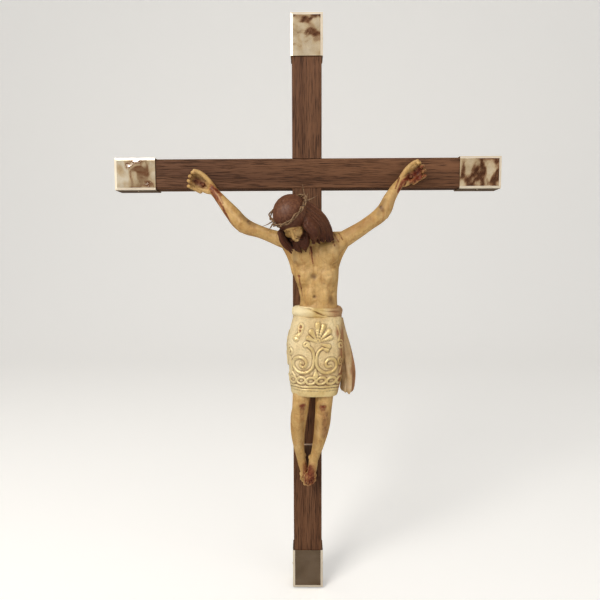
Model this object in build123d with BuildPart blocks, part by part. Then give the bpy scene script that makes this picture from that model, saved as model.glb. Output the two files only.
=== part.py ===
from build123d import *
import os
from math import cos, pi, radians, sin, sqrt, tan

# A wall crucifix: two lapped hardwood bars with folded silver end caps, and a carved, painted figure that is
# built up from doweled pieces. Millimetres, +Z up, +X to the viewer's right, and the front looks along -Y.
# The origin is where the centre lines of the two bars cross, on the wall plane. "Left" and "right" are the
# viewer's. In the figure, "out" is the distance in front of the wood's front face.

# Cross
bar_width = 30.0
bar_depth = 18.0
beam_length = 394.0  # over the end caps
upright_above = 157.5  # from the crossing to the top, over the cap
upright_below = 129.5  # from the foot block to the bottom, over the cap
edge_ease = 0.8
lap_clearance = 0.1

# End caps and their pins
cap_length = 42.0
cap_sheet = 1.0
cap_clearance = 0.2
cap_bevel_width = 2.4
cap_bevel_drop = 0.6
pin_radius = 0.6
pin_length = 6.0
pin_head_radius = 1.1
pin_head_height = 0.5
pin_from_end = 21.0

# Wood screws, driven from the back
screw_radius = 2.0
screw_head_radius = 4.0
screw_cone = 82.0
screw_point = 4.0
screw_slot_width = 0.9
screw_slot_depth = 0.8
screw_sink = 0.3
lap_screw_length = 14.0
lap_screw_reach = 7.0  # from the crossing's centre, along both bars
corpus_screw_length = 28.0
corpus_screw_across = 8.0
corpus_screw_level = -104.0

# Hanger in the back of the upright
hanger_below_cap = 13.9  # from the top cap to the recess
hanger_wire = 1.6
ring_radius = 8.0  # to the middle of the wire
ring_corner = 0.3
eye_wire_radius = 0.9
eye_hole_radius = 1.3
eye_shank_length = 6.0
eye_below_back = 3.6
recess_depth = 7.2
recess_clearance = 2.0

# Fits shared by dowels, nails, pins and screws
fit = 0.05
dowel_radius = 2.0
dowel_length = 14.0
nail_radius = 1.0
nail_head_radius = 2.2
nail_crown_radius = 1.3
nail_head_height = 1.4
nail_point = 2.5
hand_nail_in_wood = 7.0
foot_nail_in_wood = 8.0

# Torso, from the neck down to the pelvis
neck_level, neck_across, neck_out = -57.0, 3.5, 24.0
neck_half_width, neck_half_depth = 7.5, 7.0
collar_level, collar_across, collar_half_width, collar_half_depth = -62.5, 5.0, 13.0, 9.0
collar_out = 20.0
yoke_level, yoke_across, yoke_half_width, yoke_half_depth = -69.0, 7.0, 24.0, 12.0
breast_level, breast_across, breast_half_width, breast_half_depth = -88.0, 8.5, 23.6, 17.0
rib_level, rib_across, rib_half_width, rib_half_depth = -108.0, 9.8, 21.8, 16.5
belly_level, belly_across, belly_half_width, belly_half_depth = -130.0, 11.5, 18.9, 14.5
hip_level, hip_across, hip_half_width, hip_half_depth = -147.0, 9.8, 21.5, 15.5
seat_level, seat_across, seat_half_width, seat_half_depth = -163.0, 8.4, 22.0, 16.0
pelvis_level, pelvis_across, pelvis_half_width, pelvis_half_depth = -178.0, 7.6, 21.0, 16.0
back_flat = 2.0  # how much of the rounded back is cut off flat where it lies on the upright

# Arms, from the shoulder seam to the wrist
shoulder_inset = 5.0  # how far the seam lies inside the yoke's half width
shoulder_radius = 8.6
shoulder_out = 17.0
shoulder_level = -70.0
left_elbow_across, left_elbow_level = -65.0, -54.5
right_elbow_across, right_elbow_level = 75.0, -42.5
elbow_out = 14.0
elbow_radius = 7.8
upper_arm_radius = 7.2
forearm_radius = 7.0
left_wrist_across, left_wrist_level = -94.0, -19.0
right_wrist_across, right_wrist_level = 93.5, -13.0
wrist_out = 8.0
wrist_radius = 4.7

# Hands, palm forward with the fingers curled over
left_hand_angle = 32.0
right_hand_angle = 36.0
palm_length = 21.0
palm_half_depth = 3.3
palm_out = 3.8
finger_count = 4
finger_radius = 1.9
finger_gap = 0.1  # between fingers that lie side by side
finger_curl_radius = 4.2
finger_curl = 195.0
thumb_radius = 2.1
pad_swell = 0.15  # how much fuller a finger's tip is than the finger
palm_nail_inset = 8.0  # from the knuckles back to the nail

# Legs and feet
leg_clearance = 1.0  # between the two thighs at their tops
thigh_half_depth = 13.0
thigh_radius = 9.4
left_knee_across, right_knee_across = -4.2, 16.0
knee_level, knee_out, knee_radius = -232.0, 33.0, 8.4
left_calf_across, right_calf_across = -9.0, 14.6
calf_level, calf_out, calf_radius = -256.0, 25.0, 7.8
left_shin_across, right_shin_across = -8.6, 10.6
shin_level, shin_out, shin_radius = -277.0, 18.0, 5.6
left_ankle_across, right_ankle_across = -6.6, 6.4
ankle_level, ankle_radius = -292.0, 4.4
ball_level = -309.0
toe_level = -319.0
sole_flat = 0.8  # how much of a rounded sole is cut off flat where it lies on the block
heel_rise = 1.5
foot_half_width = 5.6
foot_thickness = 6.4
foot_lap = 0.6  # clearance of the right foot over the left one
left_ball_across, right_ball_across = -1.6, 2.4
left_toe_across, right_toe_across = -1.2, 2.8
toe_count = 5
toe_radius = 1.5

# Foot block between the heels and the upright
block_width = 13.0
block_top = -283.0
block_bottom = -313.0
block_top_depth = 4.0
block_bottom_depth = 6.0
foot_nail_across, foot_nail_level = 1.0, -303.0

# Loincloth, its girdle and the hanging fold
cloth_thickness = 1.6
cloth_clearance = 1.2
skirt_top_half_width, skirt_top_half_depth = 25.5, 19.5
skirt_full_level, skirt_full_across, skirt_full_half_width, skirt_full_half_depth = -173.0, 8.2, 28.8, 21.5
skirt_low_level, skirt_low_across, skirt_low_half_width, skirt_low_half_depth = -203.0, 8.2, 26.4, 22.2
hem_level, hem_across, hem_half_width, hem_half_depth = -220.0, 7.6, 22.8, 22.0
skirt_corner = 12.0
skirt_back_gap = 0.3  # from the upright
girdle_top = -134.0
girdle_full_level = -141.0
girdle_top_rise = 2.4  # how far its top edge stands out from the belly
girdle_full_rise = 6.2
fold_out, fold_half_depth = 20.0, 9.0
fold_top_half_width = 3.0
fold_upper_across, fold_upper_half_width = 37.0, 6.0
fold_full_level, fold_full_across, fold_full_half_width = -198.0, 41.0, 6.2
fold_low_level, fold_low_across, fold_low_half_width = -222.0, 41.0, 3.2

# Head, hair and beard
head_across, head_level, head_out = -14.5, -48.0, 45.0
head_bow, head_lean, head_turn = 38.0, -28.0, -24.0
skull_half_width, skull_half_depth = 17.3, 19.8
skull_rise = 3.0
brow_rise = 5.0
chin_drop = 18.0
face_half_width, face_forward = 10.5, 14.5
nose_half_width = 2.0
hair_half_width, hair_half_depth, hair_back = 16.5, 12.0, 5.0
hair_drop = 24.0
fall_turn = 40.0  # of the fall of hair that hangs to the right shoulder, seen from above
fall_top_level, fall_top_across, fall_top_half_width, fall_top_half_depth = -40.0, 1.0, 9.0, 6.5
fall_full_level, fall_full_across, fall_full_half_width, fall_full_half_depth = -56.0, 10.5, 12.0, 5.5
fall_low_level, fall_low_across, fall_low_half_width, fall_low_half_depth = -71.0, 15.5, 12.0, 3.0
fall_out = 39.0
beard_drop = 25.0

# Crown of two twisted stems, each with its own thorns
stem_radius = 0.8
stem_gap = 0.5
stem_twists = 6
stem_end_gap = 1.2  # between the two ends of a stem, behind the head
crown_rise = 7.0
crown_clearance = 0.8
thorn_length = 13.0
thorn_radius = 0.6
thorn_tip_radius = 0.15
thorn_tilt = 28.0

front = -bar_depth
lap_face = front / 2
half_bar = bar_width / 2
top_end = upright_above
bottom_end = block_bottom - upright_below
upright_length = top_end - bottom_end
half_beam = beam_length / 2
cap_wall = cap_sheet + cap_clearance

os.makedirs("parts", exist_ok=True)


def save(builder, label):
    """Name a finished piece and write it out."""
    builder.part.label = label
    export_step(builder.part, f"parts/{label}.step")


def at(across, out, level):
    """A point of the figure, measured from the front face of the wood."""
    return Vector(across, front - out, level)


def facing_front(point):
    """A plane at a point, with its normal towards the viewer."""
    return Plane(origin=point, x_dir=(1, 0, 0), z_dir=(0, -1, 0))


def facing_back(point):
    """A plane at a point, with its normal towards the wall."""
    return Plane(origin=point, x_dir=(-1, 0, 0), z_dir=(0, 1, 0))


def section_plane(point, direction, reference):
    """A section square to a limb, turned so that its x axis lies near the reference direction."""
    direction = Vector(*direction).normalized()
    reference = Vector(*reference)
    return Plane(origin=point, x_dir=reference - direction * reference.dot(direction), z_dir=direction)


def limb_planes(points, reference, first=None):
    """Sections square to a bent limb, one at each of its points."""
    planes = []
    for index, point in enumerate(points):
        ahead = points[min(index + 1, len(points) - 1)]
        behind = points[max(index - 1, 0)]
        direction = first if first and index == 0 else ahead - behind
        planes.append(section_plane(point, direction, reference))
    return planes


block_slope = (block_bottom_depth - block_top_depth) / (block_top - block_bottom)


def sole_out(level):
    """How far the front face of the foot block stands out at a level."""
    return block_top_depth + (block_top - level) * block_slope


# Where the limbs start and end, worked out from the sizes above
sides = {"left": -1, "right": 1}
elbows = {
    "left": at(left_elbow_across, elbow_out, left_elbow_level),
    "right": at(right_elbow_across, elbow_out, right_elbow_level),
}
wrists = {
    "left": at(left_wrist_across, wrist_out, left_wrist_level),
    "right": at(right_wrist_across, wrist_out, right_wrist_level),
}
hand_angles = {"left": left_hand_angle, "right": right_hand_angle}
palm_nail_reach = palm_length - palm_nail_inset
finger_pitch = 2 * finger_radius + finger_gap
palm_half_width = finger_count * finger_pitch / 2
seam_reach = yoke_half_width - shoulder_inset
shoulder_seams = {}
hand_planes = {}
palm_nails = {}
for side, sign in sides.items():
    shoulder = at(yoke_across + sign * seam_reach, shoulder_out, shoulder_level)
    shoulder_seams[side] = section_plane(shoulder, elbows[side] - shoulder, (0, 1, 0))
    angle = radians(hand_angles[side])
    reach = (sign * cos(angle), 0, sin(angle))
    hand_planes[side] = Plane(origin=wrists[side], x_dir=reach, z_dir=(0, -1, 0))
    palm_nail = hand_planes[side].from_local_coords(Vector(palm_nail_reach, 0, 0))
    palm_nails[side] = facing_front(Vector(palm_nail.X, front, palm_nail.Z))

neck = at(neck_across, neck_out, neck_level)
head_centre = at(head_across, head_out, head_level)
neck_seam = Plane(origin=neck, x_dir=(1, 0, 0), z_dir=(0, 0, 1))
neck_dowel_place = section_plane(neck, head_centre - neck, (1, 0, 0))
cloth_back = skirt_back_gap + cloth_thickness + cloth_clearance
pelvis_out = pelvis_half_depth + cloth_back
leg_top_half_width = (pelvis_half_width - leg_clearance / 2) / 2
leg_tops = {
    side: at(pelvis_across + sign * (leg_clearance / 2 + leg_top_half_width), pelvis_out, pelvis_level)
    for side, sign in sides.items()
}

# Crossing: the beam laps over the upright, and two screws from the back draw them together.
lap_screw_places = [facing_back((side * lap_screw_reach, 0, -side * lap_screw_reach)) for side in (-1, 1)]
corpus_screw_place = facing_back((corpus_screw_across, 0, corpus_screw_level))
ring_half_wire = hanger_wire / 2
recess_width = 2 * (ring_radius + ring_half_wire + recess_clearance)
recess_length = 4 * (ring_radius + ring_half_wire) + 2 * recess_clearance
hanger_level = top_end - cap_length - hanger_below_cap - recess_length / 2
eye_centre = Vector(0, -eye_below_back, hanger_level)
foot_nail_place = facing_front(at(foot_nail_across, 0, foot_nail_level))
foot_nail_seat = sole_out(foot_nail_level) + 2 * (foot_thickness - sole_flat) + foot_lap
palm_seat = palm_out + palm_half_depth

cap_places = {
    "top_cap": Plane(origin=(0, 0, top_end), x_dir=(1, 0, 0), z_dir=(0, 0, 1)),
    "bottom_cap": Plane(origin=(0, 0, bottom_end), x_dir=(-1, 0, 0), z_dir=(0, 0, -1)),
    "left_cap": Plane(origin=(-half_beam, 0, 0), x_dir=(0, 0, 1), z_dir=(-1, 0, 0)),
    "right_cap": Plane(origin=(half_beam, 0, 0), x_dir=(0, 0, -1), z_dir=(1, 0, 0)),
}


def pin_places(cap_place, side_reach):
    """Where the two side pins of a cap enter, with each plane's normal along the pin, out of the wood."""
    places = []
    for side in (1, -1):
        origin = cap_place.from_local_coords(Vector(side * side_reach, lap_face, -pin_from_end))
        places.append(Plane(origin=origin, x_dir=cap_place.y_dir, z_dir=cap_place.x_dir * side))
    return places


def bore_for_pins(labels):
    """Pilot holes for the side pins of the caps that sit on one bar."""
    for label in labels:
        for place in pin_places(cap_places[label], half_bar):
            with Locations(place):
                Hole(pin_radius + fit, depth=pin_length)


with BuildPart() as upright:
    with BuildSketch(Plane.XY.offset(bottom_end + cap_wall)):
        with Locations((0, lap_face)):
            Rectangle(bar_width, bar_depth)
    extrude(amount=upright_length - 2 * cap_wall)
    chamfer(upright.edges().filter_by(Axis.Z), edge_ease)
    with BuildSketch(Plane.XZ.offset(-front)):
        Rectangle(bar_width, bar_width + 2 * lap_clearance)
    extrude(amount=-bar_depth / 2, mode=Mode.SUBTRACT)
    with BuildSketch(facing_back((0, 0, hanger_level))):
        SlotOverall(recess_length, recess_width, rotation=90)
    extrude(amount=-recess_depth, mode=Mode.SUBTRACT)
    with Locations(facing_back(eye_centre)):
        Hole(eye_wire_radius + fit, depth=recess_depth + eye_shank_length)
    for screw_place in (*lap_screw_places, corpus_screw_place):
        with Locations(screw_place.offset(-screw_sink)):
            CounterSinkHole(screw_radius + fit, screw_head_radius + fit, bar_depth, screw_cone)
    with Locations(foot_nail_place):
        Hole(nail_radius + fit, depth=foot_nail_in_wood)
    bore_for_pins(("top_cap", "bottom_cap"))
save(upright, "upright_post")

with BuildPart() as crossbeam:
    with BuildSketch(Plane.YZ.offset(cap_wall - half_beam)):
        with Locations((lap_face, 0)):
            Rectangle(bar_depth, bar_width)
    extrude(amount=beam_length - 2 * cap_wall)
    chamfer(crossbeam.edges().filter_by(Axis.X), edge_ease)
    with BuildSketch(Plane.XZ):
        Rectangle(bar_width + 2 * lap_clearance, bar_width)
    extrude(amount=bar_depth / 2, mode=Mode.SUBTRACT)
    for screw_place in lap_screw_places:
        with Locations(screw_place.offset(lap_face)):
            Hole(screw_radius + fit, depth=screw_sink + lap_screw_length + lap_face)
    for nail_place in palm_nails.values():
        with Locations(nail_place):
            Hole(nail_radius + fit, depth=hand_nail_in_wood)
    bore_for_pins(("left_cap", "right_cap"))
save(crossbeam, "crossbeam")


def wood_screws(places, length, label):
    """Countersunk wood screws with slotted heads, each head just below the back face."""
    cone_height = (screw_head_radius - screw_radius) / tan(radians(screw_cone / 2))
    with BuildPart() as screws:
        for place in places:
            head_face = place.offset(-screw_sink)
            with BuildSketch(Plane(origin=head_face.origin, x_dir=head_face.x_dir, z_dir=head_face.y_dir)):
                with BuildLine():
                    Polyline(
                        (0, 0),
                        (screw_head_radius, 0),
                        (screw_radius, cone_height),
                        (screw_radius, length - screw_point),
                        (0, length),
                        close=True,
                    )
                make_face()
            revolve(axis=Axis(head_face.origin, head_face.z_dir))
            with BuildSketch(head_face):
                Rectangle(2 * screw_head_radius, screw_slot_width)
            extrude(amount=-screw_slot_depth, mode=Mode.SUBTRACT)
    save(screws, label)


wood_screws(lap_screw_places, lap_screw_length, "lap_screws")
wood_screws([corpus_screw_place], corpus_screw_length, "corpus_screw")

# End caps: a sheet folded over the front, both sides and the end of a bar, open at the back.
for cap_label, cap_place in cap_places.items():
    with BuildPart() as cap:
        with BuildSketch(cap_place):
            with Locations((0, (front - cap_wall) / 2)):
                Rectangle(bar_width + 2 * cap_wall, bar_depth + cap_wall)
        extrude(amount=-cap_length)
        front_face = cap.faces().sort_by(Axis.Y)[0]
        inner_end = cap.faces().sort_by(Axis(cap_place.origin, cap_place.z_dir))[0]
        bevel_edges = front_face.edges() - inner_end.edges()
        chamfer(bevel_edges, cap_bevel_width, cap_bevel_drop, reference=front_face)
        with BuildSketch(cap_place.offset(-cap_sheet)):
            with Locations((0, (front - cap_clearance) / 2)):
                Rectangle(bar_width + 2 * cap_clearance, bar_depth + cap_clearance)
        extrude(amount=-cap_length, mode=Mode.SUBTRACT)
        for pin_place in pin_places(cap_place, half_bar + cap_wall):
            with Locations(pin_place):
                Hole(pin_radius + fit, depth=2 * cap_wall)
    save(cap, cap_label)

with BuildPart() as cap_pins:
    for cap_place in cap_places.values():
        for pin_place in pin_places(cap_place, half_bar + cap_wall):
            with Locations(pin_place):
                Cylinder(pin_head_radius, pin_head_height, align=(Align.CENTER, Align.CENTER, Align.MIN))
                Cylinder(pin_radius, pin_length, align=(Align.CENTER, Align.CENTER, Align.MAX))
save(cap_pins, "cap_pins")

# Hanger: a ring that swings in a screw eye, both inside the milled recess.
with BuildPart() as hanger_eye:
    with BuildSketch(Plane(origin=eye_centre, x_dir=(0, 1, 0), z_dir=(0, 0, 1))):
        with Locations((eye_hole_radius + eye_wire_radius, 0)):
            Circle(eye_wire_radius)
    revolve(axis=Axis(eye_centre, (1, 0, 0)))
    with BuildSketch(facing_back((0, -eye_below_back - eye_hole_radius - eye_wire_radius, hanger_level))):
        Circle(eye_wire_radius)
    extrude(amount=-(recess_depth + eye_shank_length - eye_below_back - eye_hole_radius - eye_wire_radius))
save(hanger_eye, "hanger_eye")

with BuildPart() as hanger_ring:
    ring_centre = eye_centre - Vector(0, 0, ring_radius)
    with BuildSketch(Plane(origin=ring_centre, x_dir=(1, 0, 0), z_dir=(0, 0, 1))):
        with Locations((ring_radius, 0)):
            RectangleRounded(hanger_wire, hanger_wire, ring_corner)
    revolve(axis=Axis(ring_centre, (0, 1, 0)))
save(hanger_ring, "hanger_ring")

# Torso: one loft from the neck to the pelvis, flat at the back where it lies on the upright.
with BuildPart() as torso:
    torso_sections = (
        (neck_level, neck_across, neck_out, neck_half_width, neck_half_depth),
        (collar_level, collar_across, collar_out, collar_half_width, collar_half_depth),
        (yoke_level, yoke_across, shoulder_out, yoke_half_width, yoke_half_depth),
        (breast_level, breast_across, breast_half_depth, breast_half_width, breast_half_depth),
        (rib_level, rib_across, rib_half_depth - back_flat, rib_half_width, rib_half_depth),
        (belly_level, belly_across, belly_half_depth, belly_half_width, belly_half_depth),
        (hip_level, hip_across, hip_half_depth + cloth_back, hip_half_width, hip_half_depth),
        (seat_level, seat_across, seat_half_depth + cloth_back, seat_half_width, seat_half_depth),
        (pelvis_level, pelvis_across, pelvis_out, pelvis_half_width, pelvis_half_depth),
    )
    for level, across, out, half_width, half_depth in torso_sections:
        with BuildSketch(Plane(origin=at(across, out, level))):
            Ellipse(half_width, half_depth)
    loft()
    split(bisect_by=Plane(origin=(0, front, 0), x_dir=(1, 0, 0), z_dir=(0, -1, 0)), keep=Keep.TOP)
    for seam in shoulder_seams.values():
        split(bisect_by=seam, keep=Keep.BOTTOM)
        with Locations(seam):
            Hole(dowel_radius + fit, depth=dowel_length / 2 + fit)
    with Locations(neck_dowel_place):
        Hole(dowel_radius + fit, depth=dowel_length / 2 + fit)
    for leg_top in leg_tops.values():
        with Locations(Plane(origin=leg_top, x_dir=(1, 0, 0), z_dir=(0, 0, -1))):
            Hole(dowel_radius + fit, depth=dowel_length / 2 + fit)
    with Locations(corpus_screw_place.offset(-screw_sink)):
        Hole(screw_radius + fit, depth=corpus_screw_length + fit)
save(torso, "torso")


def add_hand(side):
    """A half-closed hand on the arm in hand: palm, curled fingers, thumb and the seat of its nail."""
    hand = hand_planes[side]
    thumb_side = sides[side]
    palm_back = palm_out - wrist_out
    palm_sections = (
        (-wrist_radius / 2, 0, wrist_radius * 0.9, wrist_radius * 0.8),
        (palm_length * 0.35, palm_back * 0.5, palm_half_width * 0.8, palm_half_depth * 1.1),
        (palm_length * 0.8, palm_back, palm_half_width, palm_half_depth),
        (palm_length, palm_back, palm_half_width, palm_half_depth * 0.8),
    )
    palm = []
    for along, rise, half_width, half_depth in palm_sections:
        origin = hand.from_local_coords(Vector(along, 0, rise))
        with BuildSketch(Plane(origin=origin, x_dir=hand.y_dir, z_dir=hand.x_dir)) as section:
            Ellipse(half_width, half_depth)
        palm.append(section.sketch)
    loft(palm)
    knuckle = palm_length - finger_radius
    for finger in range(finger_count):
        across = (finger - (finger_count - 1) / 2) * finger_pitch
        root = hand.from_local_coords(Vector(knuckle, across, palm_back))
        curl_centre = hand.from_local_coords(Vector(knuckle, across, palm_back + finger_curl_radius))
        with BuildSketch(Plane(origin=root, x_dir=hand.y_dir, z_dir=hand.x_dir)) as section:
            Circle(finger_radius)
        revolve(section.sketch, Axis(curl_centre, hand.y_dir * -1), finger_curl)
        turn = radians(finger_curl - 90)
        tip = Vector(
            knuckle + finger_curl_radius * cos(turn),
            across,
            palm_back + finger_curl_radius * (1 + sin(turn)),
        )
        with Locations(hand.from_local_coords(tip)):
            Sphere(finger_radius + pad_swell)
    thumb_points = [
        hand.from_local_coords(Vector(palm_length * 0.2, thumb_side * palm_half_width * 0.4, 0)),
        hand.from_local_coords(Vector(palm_length * 0.6, thumb_side * palm_half_width, 0)),
        hand.from_local_coords(Vector(palm_length, thumb_side * palm_half_width, finger_radius)),
    ]
    thumb = []
    for plane in limb_planes(thumb_points, (0, 1, 0)):
        with BuildSketch(plane) as section:
            Circle(thumb_radius)
        thumb.append(section.sketch)
    loft(thumb)
    with Locations(thumb_points[-1]):
        Sphere(thumb_radius + pad_swell)
    with Locations(palm_nails[side].offset(palm_seat)):
        Hole(nail_radius + fit, depth=bar_depth)
        Cylinder(
            nail_head_radius + fit,
            bar_depth,
            align=(Align.CENTER, Align.CENTER, Align.MIN),
            mode=Mode.SUBTRACT,
        )


arms = {}
for side in sides:
    seam = shoulder_seams[side]
    shoulder, elbow, wrist = seam.origin, elbows[side], wrists[side]
    arm_points = [
        shoulder,
        shoulder + (elbow - shoulder) * 0.5,
        elbow,
        elbow + (wrist - elbow) * 0.4,
        wrist,
    ]
    arm_radii = (shoulder_radius, upper_arm_radius, elbow_radius, forearm_radius, wrist_radius)
    with BuildPart() as arm:
        for plane, radius in zip(limb_planes(arm_points, (0, 1, 0), seam.z_dir), arm_radii):
            with BuildSketch(plane):
                Circle(radius)
        loft()
        add_hand(side)
        split(bisect_by=facing_front((0, front, 0)), keep=Keep.TOP)
        with Locations(Plane(origin=shoulder, x_dir=seam.x_dir, z_dir=seam.z_dir * -1)):
            Hole(dowel_radius + fit, depth=dowel_length / 2 + fit)
    arms[side] = arm.part
    save(arm, f"{side}_arm")

with BuildPart() as shoulder_dowels:
    for seam in shoulder_seams.values():
        with Locations(seam):
            Cylinder(dowel_radius, dowel_length)
save(shoulder_dowels, "shoulder_dowels")

with BuildPart() as neck_dowel:
    with Locations(neck_dowel_place):
        Cylinder(dowel_radius, dowel_length)
save(neck_dowel, "neck_dowel")

with BuildPart() as hip_dowels:
    with Locations(*leg_tops.values()):
        Cylinder(dowel_radius, dowel_length)
save(hip_dowels, "hip_dowels")

# Foot block: a small wedge on the upright that carries the crossed feet.
with BuildPart() as foot_block:
    with BuildSketch(Plane.YZ.offset(foot_nail_across - block_width / 2)):
        with BuildLine():
            Polyline(
                (front, block_top),
                (front - block_top_depth, block_top),
                (front - block_bottom_depth, block_bottom),
                (front, block_bottom),
                close=True,
            )
        make_face()
    extrude(amount=block_width)
    block_face = foot_block.faces().sort_by(Axis.Y)[0]
    with Locations(foot_nail_place.offset(block_bottom_depth)):
        Hole(nail_radius + fit, depth=2 * block_bottom_depth)
save(foot_block, "foot_block")

sole_plane = Plane(block_face)
foot_centre = foot_thickness / 2
leg_across = {
    "left": (left_knee_across, left_calf_across, left_shin_across, left_ankle_across),
    "right": (right_knee_across, right_calf_across, right_shin_across, right_ankle_across),
}
foot_across = {"left": (left_ball_across, left_toe_across), "right": (right_ball_across, right_toe_across)}
foot_lift = {"left": 0.0, "right": foot_thickness - sole_flat + foot_lap}

# Legs: each one a loft from the pelvis over the knee to the toes. The right foot lies over the left one.
for side in sides:
    knee_x, calf_x, shin_x, ankle_x = leg_across[side]
    ball_x, toe_x = foot_across[side]
    lift = foot_lift[side] + foot_centre - sole_flat
    leg_top = leg_tops[side]
    knee = at(knee_x, knee_out, knee_level)
    ankle = at(ankle_x, sole_out(ankle_level) + lift + heel_rise, ankle_level)
    ball = at(ball_x, sole_out(ball_level) + lift, ball_level)
    toes = at(toe_x, sole_out(toe_level) + lift, toe_level)
    leg_points = [
        leg_top,
        leg_top + (knee - leg_top) * 0.5,
        knee,
        at(calf_x, calf_out, calf_level),
        at(shin_x, shin_out, shin_level),
        ankle,
    ]
    leg_sizes = (
        (leg_top_half_width, thigh_half_depth),
        (thigh_radius, thigh_radius),
        (knee_radius, knee_radius),
        (calf_radius, calf_radius),
        (shin_radius, shin_radius),
        (ankle_radius, ankle_radius),
    )
    foot_points = [ankle + (ankle - ball) * 0.1, ankle + (ball - ankle) * 0.5, ball, toes]
    foot_sizes = (
        (ankle_radius * 0.9, ankle_radius * 0.8),
        (foot_half_width * 0.85, foot_centre * 1.1),
        (foot_half_width, foot_centre),
        (foot_half_width * 0.9, foot_centre * 0.6),
    )
    foot_planes = limb_planes(foot_points, (1, 0, 0))
    with BuildPart() as leg:
        for plane, half_sizes in zip(limb_planes(leg_points, (1, 0, 0), Vector(0, 0, -1)), leg_sizes):
            with BuildSketch(plane):
                Ellipse(*half_sizes)
        loft()
        for plane, half_sizes in zip(foot_planes, foot_sizes):
            with BuildSketch(plane):
                Ellipse(*half_sizes)
        loft()
        toe_row = foot_planes[-1]
        for toe in range(toe_count):
            across = (toe - (toe_count - 1) / 2) * 2 * (foot_half_width * 0.9 - toe_radius) / (toe_count - 1)
            with Locations(toe_row.from_local_coords(Vector(across, 0, 0))):
                Sphere(toe_radius)
        split(bisect_by=sole_plane, keep=Keep.TOP)
        with Locations(Plane(origin=leg_top, x_dir=(1, 0, 0), z_dir=(0, 0, 1))):
            Hole(dowel_radius + fit, depth=dowel_length / 2 + fit)
        with Locations(foot_nail_place.offset(foot_nail_seat)):
            Hole(nail_radius + fit, depth=2 * foot_nail_seat)
            Cylinder(
                nail_head_radius + fit,
                bar_depth,
                align=(Align.CENTER, Align.CENTER, Align.MIN),
                mode=Mode.SUBTRACT,
            )
    save(leg, f"{side}_leg")

# Loincloth: a stiffened cloth tube that hangs from the girdle, clear of the thighs.
skirt_sections = (
    (hip_level, hip_across, skirt_top_half_width, skirt_top_half_depth),
    (skirt_full_level, skirt_full_across, skirt_full_half_width, skirt_full_half_depth),
    (skirt_low_level, skirt_low_across, skirt_low_half_width, skirt_low_half_depth),
    (hem_level, hem_across, hem_half_width, hem_half_depth),
)


def add_skirt_loft(inset, mode):
    """The skirt's outer form, or the hollow inside it when it is drawn in by the cloth's thickness."""
    rings = []
    for level, across, half_width, half_depth in skirt_sections:
        middle = at(across, half_depth + skirt_back_gap, level)
        with BuildSketch(Plane(origin=middle)) as ring:
            RectangleRounded(2 * (half_width - inset), 2 * (half_depth - inset), skirt_corner - inset)
        rings.append(ring.sketch)
    loft(rings, mode=mode)


with BuildPart() as skirt_form:
    add_skirt_loft(0, Mode.ADD)

with BuildPart() as loincloth:
    add_skirt_loft(0, Mode.ADD)
    add_skirt_loft(cloth_thickness, Mode.SUBTRACT)
save(loincloth, "loincloth")

# Girdle: a rolled band round the waist that holds the cloth up.
with BuildPart() as girdle:
    girdle_sections = (
        (girdle_top, belly_across, belly_half_width + girdle_top_rise, belly_half_depth + girdle_top_rise),
        (
            girdle_full_level,
            hip_across,
            belly_half_width + girdle_full_rise,
            belly_half_depth + girdle_full_rise,
        ),
        (hip_level, hip_across, skirt_top_half_width, skirt_top_half_depth),
    )
    for level, across, half_width, half_depth in girdle_sections:
        with BuildSketch(Plane(origin=at(across, half_depth - back_flat, level))):
            RectangleRounded(2 * half_width, 2 * half_depth, skirt_corner)
    loft()
    add(torso.part, mode=Mode.SUBTRACT)
    split(bisect_by=facing_front((0, front, 0)), keep=Keep.TOP)
save(girdle, "girdle")

# Hanging fold: the loose end of the cloth, down the right hip.
with BuildPart() as side_fold:
    fold_sections = (
        (hip_level, hip_across + skirt_top_half_width - fold_top_half_width, fold_top_half_width),
        (skirt_full_level, fold_upper_across, fold_upper_half_width),
        (fold_full_level, fold_full_across, fold_full_half_width),
        (fold_low_level, fold_low_across, fold_low_half_width),
    )
    for level, across, half_width in fold_sections:
        with BuildSketch(Plane(origin=at(across, fold_out, level))):
            Ellipse(half_width, fold_half_depth)
    loft()
    add(skirt_form.part, mode=Mode.SUBTRACT)
save(side_fold, "side_fold")

# Head: bowed and turned towards the left shoulder, with its hair and beard carved from the same piece.
head_place = (
    Pos(*head_centre) * Rot(0, head_lean, 0) * Rot(head_bow, 0, 0) * Rot(0, 0, head_turn)
)
head_plane = Plane(head_place)


def in_head(across, back, up):
    """A level plane of the head at a point that is measured from the head's centre."""
    return Plane(head_place * Pos(across, back, up))


def add_head_loft(sections):
    """A form of the head, through ellipses at (height, back, half width, half depth) in its own axes."""
    rings = []
    for up, back, half_width, half_depth in sections:
        with BuildSketch(in_head(0, back, up)) as ring:
            Ellipse(half_width, half_depth)
        rings.append(ring.sketch)
    loft(rings)


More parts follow.
